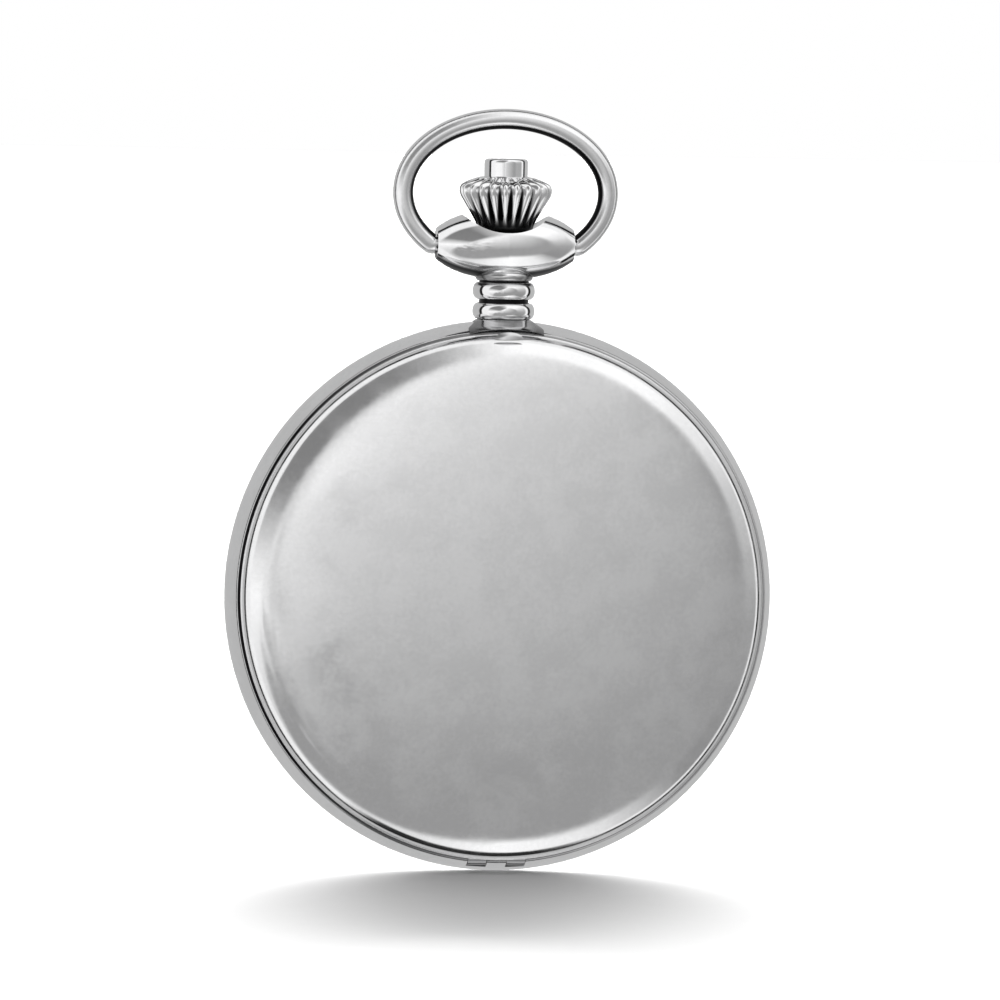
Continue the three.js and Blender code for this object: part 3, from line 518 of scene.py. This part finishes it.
def enamel(name):
    """Fired white enamel: very faint mottling and a soft glassy orange-peel."""
    material = bpy.data.materials.new(name)
    tree = Tree(material)
    mottle = tree.noise(220.0, 4.0)
    base = tree.mix(mottle, (0.83, 0.815, 0.775, 1), (0.90, 0.89, 0.86, 1))
    extra = {"Coat Weight": 0.7, "Coat Roughness": 0.04}
    peel = tree.bump(tree.noise(420.0, 2.0), 0.000008, 0.25)
    shade(tree, base, tree.remap(mottle, 0.3, 0.7, 0.2, 0.3), 0.0, peel, **extra)
    return material


def ink(name, color):
    """Dull printed ink with a fine fleck."""
    material = bpy.data.materials.new(name)
    tree = Tree(material)
    fleck = tree.noise(2400.0, 3.0)
    base = tree.mix(fleck, tone(color, 0.7), tone(color, 1.8))
    matt = {"Specular IOR Level": 0.25}
    shade(tree, base, tree.remap(fleck, 0.3, 0.7, 0.28, 0.42), 0.0, tree.bump(fleck, 0.000002, 0.4), **matt)
    return material


steel = polished_steel("case_steel")
# The back cover takes a grey of painted shade on its knuckles below the seat.
dome_steel = polished_steel("back_cover_steel", (0.1, 0.2), 0.04, 0.00004, at_hinge, (0.4, 0.4, 0.405, 1))
spring_steel = plain_metal("spring_steel", (0.50, 0.51, 0.53))
gilt = plain_metal("gilt_brass", (0.80, 0.58, 0.26), (0.18, 0.32), 1800.0)
blue = blued_steel("blued_steel")
red_ruby = ruby("ruby")
neck_steel = polished_steel("pendant_steel", find_painted_shade=in_neck_grooves)
bow_steel = polished_steel("bow_steel", (0.16, 0.24), find_painted_shade=inside_bow)
band_steel = polished_steel("band_steel", (0.1, 0.16), find_painted_shade=at_cover_seam)
crown_steel = polished_steel("crown_steel", find_painted_shade=between_flutes)
glass = clear_glass("crystal_glass")
white_enamel = enamel("dial_enamel")
black_ink = ink("dial_ink", (0.012, 0.012, 0.014))
black_lacquer = plain_metal("black_lacquer", (0.03, 0.032, 0.036), (0.12, 0.24), 1500.0)
stripes = striped_nickel("striped_nickel", (0.74, 0.73, 0.70))
spots = spotted_nickel("spotted_nickel", (0.70, 0.69, 0.66))
bright_steel = plain_metal("bright_steel", (0.72, 0.73, 0.74), (0.08, 0.18), 1100.0)


# ------------------------------------------------------------------ case: band, covers, pendant, bow


def spline(points, steps=8):
    """A smooth curve led by the given points: it starts and ends on the outer two and rounds the rest."""
    run = []
    ends = [points[0]] * 2 + list(points) + [points[-1]] * 2
    for a, b, c, d in zip(ends, ends[1:], ends[2:], ends[3:]):
        for i in range(steps):
            t = i / steps
            weights = (
                (1 - t) ** 3, 3 * t ** 3 - 6 * t * t + 4, -3 * t ** 3 + 3 * t * t + 3 * t + 1, t ** 3,
            )
            run.append(tuple(
                sum(w * v for w, v in zip(weights, values)) / 6 for values in zip(a, b, c, d)
            ))
    return [*run, points[-1]]


def band_outside():
    """The band's outer face from the dial side's edge to the back cover's, nearly flat on each flank."""
    half = [
        (24, 0), (23.97, 0.4), (23.84, 0.85), (23.62, 1.4), (23.38, 1.95), (23.21, 2.3), (23.08, 2.43),
        (22.95, 2.45),
    ]
    side = spline(half, 6)
    return [(r, -y) for r, y in reversed(side)] + side[1:]


def band_profile():
    return [*band_outside(), (20.9, 2.45), (20.9, -1.7), (19.7, -1.7), (19.7, -2.45)]


def on_hinge(name, radius, low, high):
    return cylinder(name, radius, low, high, "X", (0, HINGE_Y, HINGE_Z))


def make_case_band():
    band = lathe("case_band", band_profile(), segments=240)
    cut(band, cylinder("hole", 1.95, 18, 26, "Z"), on_hinge("pin_bore", 0.31, -3.3, 3.3))
    for low, high in COVER_KNUCKLES:
        cut(band, on_hinge("pocket", 0.79, low - 0.05, high + 0.05))
    stands_for(band, "case", "case_steel", band_steel, "case_middle")


def make_back_cover():
    dome = spline([
        (0, 5.9), (2, 5.9), (5, 5.84), (8, 5.74), (11, 5.57), (14, 5.33), (16.5, 5.06), (18.5, 4.79),
        (20.0, 4.54), (21.0, 4.3), (21.7, 4.04), (22.2, 3.76), (22.55, 3.4), (22.72, 3.1),
        (22.76, 2.92),
    ])
    flange = spline([(22.79, 2.87), (22.85, 2.86), (22.9, 2.83), (22.9, 2.75)], 4)
    inside = [(22.9, 2.5), (20.7, 2.5), (20.7, 1.95), (20.3, 1.95)]
    hollow = spline([(20.2, 3.2), (19.6, 3.75), (18.2, 4.15), (14, 4.7), (7, 5.15), (0, 5.3)], 5)
    cover = lathe("back_cover_dome", [*dome, *flange, *inside, *hollow], segments=240)
    for low, high in COVER_KNUCKLES:
        web = slab("web", (low, high), (HINGE_Y, 2.6), (HINGE_Z, HINGE_Z + 0.3))
        join(cover, join(on_hinge("knuckle", 0.58, low, high), web))
    cut(cover, on_hinge("pin_bore", 0.31, -5, 5))
    stands_for(cover, "back", "case_steel", dome_steel, "back_cover")


def make_bezel_and_crystal():
    outside = spline([
        (22.9, -2.62), (22.9, -2.82), (22.62, -2.9), (22.4, -3.25), (21.9, -3.85), (21.2, -4.3),
        (20.6, -4.5), (20.25, -4.55), (20.25, -4.45),
    ])
    seat = [(20.25, -4.3), (20.85, -4.3), (20.85, -3.8), (20.5, -3.8), (20.5, -2.5), (22.9, -2.5)]
    bezel = lathe("bezel_ring", [*outside, *seat], segments=240)
    stands_for(bezel, "case", "case_steel", steel, "front_bezel")
    top = spline([
        (0, -6.13), (4, -6.12), (9, -5.97), (14, -5.64), (17.5, -5.22), (19.4, -4.86), (20.2, -4.6),
    ])
    rim = [(20.2, -4.25), (20.8, -4.25), (20.8, -3.85), (19.7, -3.85)]
    under = spline([(19.4, -4.1), (17, -4.55), (14, -4.95), (9, -5.25), (4, -5.38), (0, -5.4)])
    lens = lathe("crystal_lens", [*top, *rim, *under], segments=200)
    stands_for(lens, "case", "crystal", glass, "crystal")


def bead(radius, low, high, waist):
    """A rounded ring on the neck, from one waist to the next."""
    middle, half = (low + high) / 2, (high - low) / 2
    steps = 14
    angles = [math.pi * (i / steps - 0.5) for i in range(steps + 1)]
    return [
        (waist + (radius - waist) * math.cos(a) ** 0.85, middle + half * math.sin(a)) for a in angles
    ]


def make_pendant():
    flare = spline([(4.2, 22.4), (4.15, 22.9), (3.8, 23.3), (3.1, 23.6), (2.72, 23.82), (2.4, 24.06)])
    neck = lathe("pendant_neck", [
        (0, 21), (1.9, 21), (1.9, 22.4), *flare, *bead(2.72, 24.08, 25.52, 2.16),
        *bead(2.72, 25.8, 27.32, 2.16), *bead(2.5, 27.42, 28.2, 2.16), (2.16, 30.5), (0, 30.5),
    ], "Z", 128, sharp=50)
    seat = lathe("seat", [
        (0, -4), (23.4, -4),
        *[(r + 0.05, y * 1.03) for r, y in band_outside()], (23.4, 4), (0, 4),
    ], segments=200)
    cut(seat, cylinder("spigot", 1.901, 18, 26, "Z"))
    cut(neck, seat, cylinder("stem_bore", 1.35, 20, 32, "Z"))
    half = spline([
        (3.05, 0), (3.03, 0.9), (2.92, 2.2), (2.68, 3.4), (2.3, 4.5), (1.88, 5.3), (1.5, 5.84),
        (1.38, 6.0),
    ], 6)
    profile = [(r, -h) for r, h in reversed(half)] + half[1:]
    head = lathe("pendant_head", [(0, -6), *profile, (0, 6)], "X", 128, (0, 0, HEAD_Z), sharp=40)
    dish = [
        (0, 31.1), *spline([(1.2, 31.1), (2.2, 31.2), (3.1, 31.7), (3.6, 32.4), (3.85, 33.2)]),
        (3.85, 34.5), (0, 34.5),
    ]
    cut(head, lathe("dish", dish, "Z", 96), cylinder("stem_bore", 1.35, 26, 32, "Z"))
    for low, high in ((4.4, 6.5), (-6.5, -4.4)):
        cut(head, cylinder("pivot_bore", 0.6, low, high, "X", (0, 0, HEAD_Z)))
    join(neck, head)
    stands_for(neck, "case", "case_steel", neck_steel, "pendant")


def bow_section():
    """The wire's section as (outward, sideways) pairs: round, with a narrow flat inside each flank."""
    points, sides, cant = [], 48, math.radians(52)
    for k in range(sides):
        a = (k + 0.5) * TAU / sides
        out, side = math.cos(a), math.sin(a)
        reach = abs(side) * math.cos(cant) - out * math.sin(cant)
        pull = min(1.0, 0.955 / reach) if out < 0 and reach > 0 else 1.0
        points.append((WIRE_RADIUS * out * pull, WIRE_RADIUS * side * pull))
    return points


def make_bow():
    """An oval ring whose two ends turn in to the pendant's head."""
    end = math.acos(6.5 / BOW_HALF_WIDTH)
    angles = [-end + (math.pi + 2 * end) * i / 32 for i in range(33)]
    oval = [(BOW_HALF_WIDTH * math.cos(a), BOW_Z + BOW_HALF_HEIGHT * math.sin(a)) for a in angles]
    route = smooth_run([(6.2, HEAD_Z), *oval, (-6.2, HEAD_Z)], 6)
    section, vertices, faces = bow_section(), [], []
    sides, last = len(section), len(route) - 1
    for i, (x, z) in enumerate(route):
        (x0, z0), (x1, z1) = route[max(0, i - 1)], route[min(last, i + 1)]
        length = math.hypot(x1 - x0, z1 - z0)
        across = ((z1 - z0) / length, (x0 - x1) / length)
        for out, side in section:
            vertices.append((x + out * across[0], side, z + out * across[1]))
    for i in range(last):
        for k in range(sides):
            low, high = i * sides + k, i * sides + (k + 1) % sides
            faces.append((low, high, high + sides, low + sides))
    faces += [tuple(range(sides)), tuple(range(last * sides, (last + 1) * sides))]
    wire = new_object("bow_ring", vertices, faces, 40)
    for low, high in ((4.6, 6.6), (-6.6, -4.6)):
        join(wire, cylinder("pivot", 0.55, low, high, "X", (0, 0, HEAD_Z)))
    stands_for(wire, "bow", "case_steel", bow_steel, "bow")


# ------------------------------------------------------------------ crown and push-piece


def make_crown():
    """A fluted grip with pointed ridges, a plain neck, and a well for the push-piece."""
    flutes, per_flute = 22, 14
    outside = spline([
        (1.9, 31.6), (2.2, 31.65), (2.42, 31.9), (2.5, 32.3), (2.85, 33.0), (3.3, 33.72), (3.75, 34.45),
        (4.05, 34.95), (4.08, 35.4), (3.98, 35.75), (3.6, 36.0), (3.1, 36.2), (2.5, 36.42),
        (2.05, 36.5), (1.95, 36.5),
    ], 5)
    well = [(1.95, 34.6), (0.43, 34.6), (0.43, 34.25), (0.9, 34.25), (0.9, 31.6)]
    count = flutes * per_flute
    vertices, faces, valleys = [], [], []
    for radius, z in [*outside, *well]:
        fluted = min(1.0, max(0.0, (z - 31.9) / 0.9)) * min(1.0, max(0.0, (radius - 2.4) / 0.5))
        for i in range(count):
            phase = (i % per_flute) / per_flute
            ridge = abs(math.cos(math.pi * phase))
            valley = fluted * (1 - ridge ** 1.25)
            r = radius * (1 - 0.15 * valley)
            valleys.append(valley)
            a = i * TAU / count
            vertices.append((r * math.cos(a), r * math.sin(a), z))
    rows = len(vertices) // count
    for row in range(rows):
        for i in range(count):
            low, high = row * count, (row + 1) % rows * count
            j = (i + 1) % count
            faces.append((low + i, low + j, high + j, high + i))
    grip = new_object("crown_grip", vertices, faces, 34)
    grip.data.attributes.new("valley", "FLOAT", "POINT").data.foreach_set("value", valleys)
    stands_for(grip, "crown", "case_steel", crown_steel, "crown")
    edge = spline([(1.9, 37.6), (1.9, 37.82), (1.82, 37.98), (1.65, 38.05), (1.4, 38.05)], 5)
    button = lathe("push_button", [(0, 35.7), (1.75, 35.7), (1.9, 35.85), *edge, (0, 38.05)], "Z", 96)
    stands_for(button, "pusher", "case_steel", steel, "push_piece")


def make_push_spring():
    """The return spring under the push-piece."""
    steps, sides, turns = 150, 8, 2.5
    low, high, coil_radius, wire_radius = 34.78, 35.53, 1.3, 0.1
    vertices, faces = [], []
    for i in range(steps):
        share = i / (steps - 1)
        turn, z = turns * TAU * share, low + (high - low) * share
        for k in range(sides):
            a = k * TAU / sides
            r = coil_radius + wire_radius * math.cos(a)
            vertices.append((r * math.cos(turn), r * math.sin(turn), z + wire_radius * math.sin(a)))
    for i in range(steps - 1):
        for k in range(sides):
            j = (k + 1) % sides
            faces.append((i * sides + k, i * sides + j, (i + 1) * sides + j, (i + 1) * sides + k))
    faces += [tuple(range(sides))[::-1], tuple((steps - 1) * sides + k for k in range(sides))]
    coil = new_object("push_coil", vertices, faces, 50)
    stands_for(coil, "crown", "spring_steel", spring_steel, "push_spring")
    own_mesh(coil)


# ------------------------------------------------------------------ dial and its printing


def make_dial():
    """The enamel face, with a sunk circle for the seconds and a hole for each arbor."""
    x, z = FOURTH_AT
    profile = [(1.1, DIAL_FRONT), (20.15, DIAL_FRONT), (20.3, -3.6), (20.3, -3.3), (1.1, -3.3)]
    face = lathe("dial_face", profile, segments=160)
    cut(face, cylinder("sink", 4.3, -4.7, -3.58, "Y", (x, 0, z), 120))
    cut(face, cylinder("hole", 0.4, -4.7, -2.3, "Y", (x, 0, z), 32))
    stands_for(face, "case", "enamel", white_enamel, "dial")


def print_on_dial(name, shapes, front):
    """Lays flat ink shapes, each a list of (x, z) corners, just proud of the dial."""
    sunk, proud = 0.02, 0.012
    vertices, faces = [], []
    for corners in shapes:
        start, count = len(vertices), len(corners)
        vertices += [(x, front + sunk, z) for x, z in corners]
        vertices += [(x, front - proud, z) for x, z in corners]
        faces.append(tuple(start + i for i in range(count)))
        faces.append(tuple(start + count + i for i in range(count)))
        for i in range(count):
            j = (i + 1) % count
            faces.append((start + i, start + j, start + count + j, start + count + i))
    return stands_for(new_object(name, vertices, faces, 30), "case", "enamel", black_ink)


def tick(centre, inner, outer, width, angle):
    c, s = math.cos(angle), math.sin(angle)
    corners = [(inner, -width / 2), (outer, -width / 2), (outer, width / 2), (inner, width / 2)]
    return [(centre[0] + r * c - w * s, centre[1] + r * s + w * c) for r, w in corners]


def ring(centre, inner, outer, count=120):
    """A printed circle as a run of short flat pieces."""
    pieces = []
    for i in range(count):
        a, b = i * TAU / count, (i + 1) * TAU / count
        pieces.append([
            (centre[0] + r * math.cos(t), centre[1] + r * math.sin(t))
            for r, t in ((inner, a), (outer, a), (outer, b), (inner, b))
        ])
    return pieces


def numeral(text, x, z, size, front):
    curve = bpy.data.curves.new(f"numeral_{text}", "FONT")
    curve.body = text
    curve.size = size * MM
    curve.align_x, curve.align_y = "CENTER", "CENTER"
    curve.extrude = 0.016 * MM
    curve.offset = 0.035 * MM if size > 2 else 0
    lettering = bpy.data.objects.new("lettering", curve)
    bpy.context.scene.collection.objects.link(lettering)
    lettering.rotation_euler = (math.pi / 2, 0, 0)
    lettering.location = place(x, front + 0.004, z)
    bpy.context.view_layer.update()
    evaluated = lettering.evaluated_get(bpy.context.evaluated_depsgraph_get())
    mesh = bpy.data.meshes.new_from_object(evaluated)
    mesh.transform(lettering.matrix_world)
    bpy.data.objects.remove(lettering)
    return mesh


def numerals(name, labels, centre, radius, size, front):
    """Upright figures round a circle, joined into one piece. labels gives (turn, text) pairs."""
    tool = bmesh.new()
    for turn, text in labels:
        angle = turn * TAU
        x, z = centre[0] + radius * math.sin(angle), centre[1] + radius * math.cos(angle)
        tool.from_mesh(numeral(text, x, z, size, front))
    mesh = bpy.data.meshes.new(name)
    tool.to_mesh(mesh)
    tool.free()
    return stands_for(show_mesh(name, mesh, 30), "case", "enamel", black_ink)


def make_dial_printing():
    centre = (0, 0)
    track = ring(centre, 17.55, 17.63, 160) + ring(centre, 18.42, 18.5, 160)
    marks = [
        tick(centre, 17.6, 18.46, 0.34 if i % 5 == 0 else 0.1, i * TAU / 60) for i in range(60)
    ]
    print_on_dial("minute_track", track + marks, DIAL_FRONT)
    hours = [(h / 12, str(h)) for h in range(1, 13) if h != 6]
    numerals("hour_figures", hours, centre, 15.0, 4.3, DIAL_FRONT)
    outer = [(m / 60, str(m)) for m in range(5, 65, 5)]
    numerals("minute_figures", outer, centre, 19.28, 1.15, DIAL_FRONT)
    sink = DIAL_FRONT + 0.12
    small = ring(FOURTH_AT, 3.92, 3.98, 100) + ring(FOURTH_AT, 3.5, 3.54, 100)
    small += [
        tick(FOURTH_AT, 3.5, 3.95, 0.12 if i % 5 == 0 else 0.05, i * TAU / 60) for i in range(60)
    ]
    print_on_dial("seconds_track", small, sink)
    tens = [(s / 60, str(s)) for s in (10, 20, 30, 40, 50, 60)]
    numerals("seconds_figures", tens, FOURTH_AT, 2.85, 1.0, sink)


# ------------------------------------------------------------------ finish on the carried-over nodes


REPLACED = {
    "case_middle", "back_cover", "front_bezel", "crystal", "dial", "pendant", "bow", "crown", "push_piece",
    "push_spring",
}
BEVELLED = {
    "barrel_bridge": 0.09, "train_bridge": 0.09, "balance_cock": 0.09, "pallet_bridge": 0.05,
    "ratchet_wheel": 0.03, "crown_wheel": 0.03, "click": 0.04, "regulator": 0.03, "minute_hand": 0.03,
    "hour_hand": 0.03, "seconds_hand": 0.015, "movement_ring": 0.05,
}


def smoothing_group():
    """Geometry nodes that shade a mesh smooth except across sharp edges."""
    group = bpy.data.node_groups.new("shade_by_angle", "GeometryNodeTree")
    group.interface.new_socket("Geometry", in_out="INPUT", socket_type="NodeSocketGeometry")
    group.interface.new_socket("Geometry", in_out="OUTPUT", socket_type="NodeSocketGeometry")
    start, end = group.nodes.new("NodeGroupInput"), group.nodes.new("NodeGroupOutput")
    faces = group.nodes.new("GeometryNodeSetShadeSmooth")
    edges = group.nodes.new("GeometryNodeSetShadeSmooth")
    edges.domain = "EDGE"
    angle = group.nodes.new("GeometryNodeInputMeshEdgeAngle")
    shallow = group.nodes.new("ShaderNodeMath")
    shallow.operation = "LESS_THAN"
    shallow.inputs[1].default_value = math.radians(38)
    group.links.new(start.outputs[0], faces.inputs[0])
    group.links.new(faces.outputs[0], edges.inputs[0])
    group.links.new(angle.outputs[0], shallow.inputs[0])
    group.links.new(shallow.outputs[0], edges.inputs["Shade Smooth"])
    group.links.new(edges.outputs[0], end.inputs[0])
    return group


def finish_nodes():
    """Materials, soft shading and small edge breaks for every CAD node that stays visible."""
    brass = {name: turned_metal(f"gilt_{name}", (0.80, 0.58, 0.26), at) for name, at in (
        ("barrel", BARREL_AT), ("centre", (0, 0)), ("fourth", FOURTH_AT))}
    sunray = {name: turned_metal(f"sunray_{name}", (0.74, 0.75, 0.76), at, (0.1, 0.26)) for name, at in (
        ("ratchet", BARREL_AT), ("crown_wheel", CROWN_WHEEL_AT))}
    chosen = {
        "back_hinge_pin": spring_steel, "pendant_sleeve": gilt, "lift_spring": spring_steel,
        "movement_ring": spots, "main_plate": spots, "barrel_bridge": stripes, "train_bridge": stripes,
        "balance_cock": stripes, "pallet_bridge": stripes, "hairspring": blue, "regulator": bright_steel,
        "barrel_drum": brass["barrel"], "barrel_cover": brass["barrel"], "centre_wheel": brass["centre"],
        "fourth_wheel": brass["fourth"], "third_wheel": gilt, "balance_wheel": gilt, "minute_wheel": gilt,
        "hour_wheel": gilt, "ratchet_wheel": sunray["ratchet"], "crown_wheel": sunray["crown_wheel"],
        "click": bright_steel, "minute_hand": black_lacquer, "hour_hand": black_lacquer,
        "seconds_hand": black_lacquer,
    }
    group = smoothing_group()
    for name, node in frame["nodes"].items():
        if name in REPLACED:
            continue
        material = chosen.get(name, spring_steel)
        if "screw" in name:
            material = blue
        elif "jewel" in name:
            material = red_ruby
        node.data.materials.clear()
        node.data.materials.append(material)
        node.modifiers.new("shading", "NODES").node_group = group
        if name in BEVELLED:
            soften(node, BEVELLED[name])


make_case_band()
make_back_cover()
make_bezel_and_crystal()
make_pendant()
make_bow()
make_crown()
make_push_spring()
make_dial()
make_dial_printing()
finish_nodes()


# ------------------------------------------------------------------ floor, light and camera


def make_floor():
    """A plain pale sheet under the watch, which the polished metal doesn't mirror."""
    mesh = bpy.data.meshes.new("floor")
    half, z = 6.0, FLOOR_Z * MM
    corners = [(-half, -half, z), (half, -half, z), (half, half, z), (-half, half, z)]
    mesh.from_pydata(corners, [], [(0, 1, 2, 3)])
    floor = bpy.data.objects.new("floor", mesh)
    bpy.context.scene.collection.objects.link(floor)
    material = bpy.data.materials.new("pale_floor")
    tree = Tree(material)
    paper = tree.noise(400.0, 2.0)
    shade(tree, tree.mix(paper, (0.86, 0.86, 0.86, 1), (0.88, 0.88, 0.88, 1)), 0.9, 0.0)
    mesh.materials.append(material)
    floor.visible_glossy = False
    return floor


def ramp(tree, factor, stops):
    """Light levels in units of CARD_LIGHT, led by (position, level) stops."""
    made = tree.node("ShaderNodeValToRGB")
    tree.feed(made.inputs[0], factor)
    elements = made.color_ramp.elements
    while len(elements) < len(stops):
        elements.new(0.5)
    for element, (position, level) in zip(elements, stops):
        element.position = position
        element.color = (level, level, level, 1.0)
    return tree.math("MULTIPLY", made.outputs[0], CARD_LIGHT)


def make_world():
    """A studio tent: a graded sheet ahead, light and dark cards round it, and a dark table below.

    The camera sees plain white, and the floor gets little of the tent's light, so its shadow stays.
    """
    world = bpy.data.worlds.new("studio")
    bpy.context.scene.world = world
    tree = Tree(world)
    direction = tree.node("ShaderNodeTexCoord").outputs["Generated"]
    x, y, z = tree.split(direction)
    across, up = tree.math("SUBTRACT", x, SHEET_AT[0]), tree.math("SUBTRACT", z, SHEET_AT[2])
    grade = tree.math("ADD", tree.math("MULTIPLY", across, 0.5), tree.math("MULTIPLY", up, 0.88))
    twist = tree.math("MULTIPLY", tree.math("MULTIPLY", across, up), 1.6)
    cloud = tree.noise(9.0, 3.0, direction)
    patchy = tree.remap(across, 0.08, 0.3, 0.0, 1.7, "SMOOTHSTEP")
    mottle = tree.math("MULTIPLY", tree.math("SUBTRACT", cloud, 0.5), patchy)
    sheet = tree.math("ADD", tree.math("ADD", grade, twist), tree.math("ADD", mottle, 0.6))
    ahead = tree.math("MINIMUM", tree.math("MAXIMUM", sheet, 0.4), 1.15)
    turn = tree.math("ARCTAN2", up, tree.math("MULTIPLY", across, -1.0))
    around = tree.math("ADD", tree.math("DIVIDE", turn, TAU), 0.5)
    cards = ramp(tree, around, [
        (0.0, 0.78), (0.06, 0.56), (0.125, 0.45), (0.2, 0.62), (0.25, 0.8), (0.31, 0.64), (0.375, 0.21),
        (0.44, 0.23), (0.5, 0.28), (0.56, 0.43), (0.6, 0.6), (0.66, 0.8), (0.75, 0.8), (0.785, 0.38),
        (0.83, 0.16), (0.93, 0.18), (0.965, 0.5), (1.0, 0.78),
    ])
    below = tree.remap(z, -0.95, -0.86, 0.03, 1.0, "SMOOTHSTEP")
    far = tree.math("MULTIPLY", 1.1, below)
    corner = tree.math("MULTIPLY", tree.math("MAXIMUM", across, 0.0), up)
    shares = [tree.math("MULTIPLY", part, at) for part, at in zip((x, y, z), SHEET_AT)]
    axis = tree.math("ADD", shares[1], tree.math("ADD", shares[0], shares[2]))
    early = tree.math("SUBTRACT", axis, tree.math("MULTIPLY", corner, 0.9))
    zones = (
        (early, 0.86, 0.74, cards), (axis, 0.34, 0.2, far), (y, -0.06, -0.12, 0.02), (y, -0.3, -0.36, 0.58),
    )
    level = ahead
    # Each zone takes over from the ones before it as its measure of direction falls from near to past.
    for facing, near, past, part in zones:
        share = tree.remap(facing, past, near, 1.0, 0.0, "SMOOTHSTEP")
        level = tree.math("ADD", tree.math("MULTIPLY", level, tree.math("SUBTRACT", 1.0, share)),
                          tree.math("MULTIPLY", part, share))
    path = tree.node("ShaderNodeLightPath").outputs
    seen = path["Is Camera Ray"]
    fill = tree.math("MULTIPLY", level, tree.remap(path["Is Diffuse Ray"], 0.0, 1.0, 1.0, 0.12))
    strength = tree.math("ADD", tree.math("MULTIPLY", fill, tree.math("SUBTRACT", 1.0, seen)), seen)
    background = tree.node("ShaderNodeBackground")
    background.inputs["Color"].default_value = (1, 1, 1, 1)
    tree.feed(background.inputs["Strength"], strength)
    output = tree.node("ShaderNodeOutputWorld")
    tree.tree.links.new(background.outputs[0], output.inputs["Surface"])


def make_lights(floor):
    """Two broad lights from beyond the watch, and a low one that lands on the floor only."""
    only_floor = bpy.data.collections.new("only_floor")
    only_floor.objects.link(floor)
    suns = (("low", 11, 20.0, 50), ("high", 55, 1.6, 90), ("dial_side", 15, 0.5, 60))
    beyond = (-0.139, -0.99)
    for name, rise, energy, spread in suns:
        data = bpy.data.lights.new(name, "SUN")
        data.energy = energy
        data.angle = math.radians(spread)
        light = bpy.data.objects.new(name, data)
        bpy.context.scene.collection.objects.link(light)
        up, level = math.sin(math.radians(rise)), math.cos(math.radians(rise))
        light.rotation_mode = "QUATERNION"
        towards = Vector((beyond[0] * level, beyond[1] * level, up))
        light.rotation_quaternion = towards.to_track_quat("Z", "Y")
        light.visible_glossy = False
        if name == "low":
            light.light_linking.receiver_collection = only_floor


def make_camera():
    data = bpy.data.cameras.new("camera")
    data.sensor_width, data.lens = 36.0, 372.0
    data.clip_start, data.clip_end = 0.05, 20.0
    camera = bpy.data.objects.new("camera", data)
    bpy.context.scene.collection.objects.link(camera)
    target, distance = Vector((-0.00002, 0, -0.03227)), 0.9
    azimuth, elevation, roll = math.radians(172.0), math.radians(2.5), math.radians(1.1)
    back = Vector((
        math.sin(azimuth) * math.cos(elevation), -math.cos(azimuth) * math.cos(elevation),
        math.sin(elevation),
    ))
    camera.location = target + back * distance
    level = (-back).to_track_quat("-Z", "Y").to_matrix()
    camera.rotation_euler = (level @ Matrix.Rotation(roll, 3, "Z")).to_euler()
    bpy.context.scene.camera = camera


floor = make_floor()
make_world()
make_lights(floor)
make_camera()
bpy.context.scene.view_settings.view_transform = "Standard"
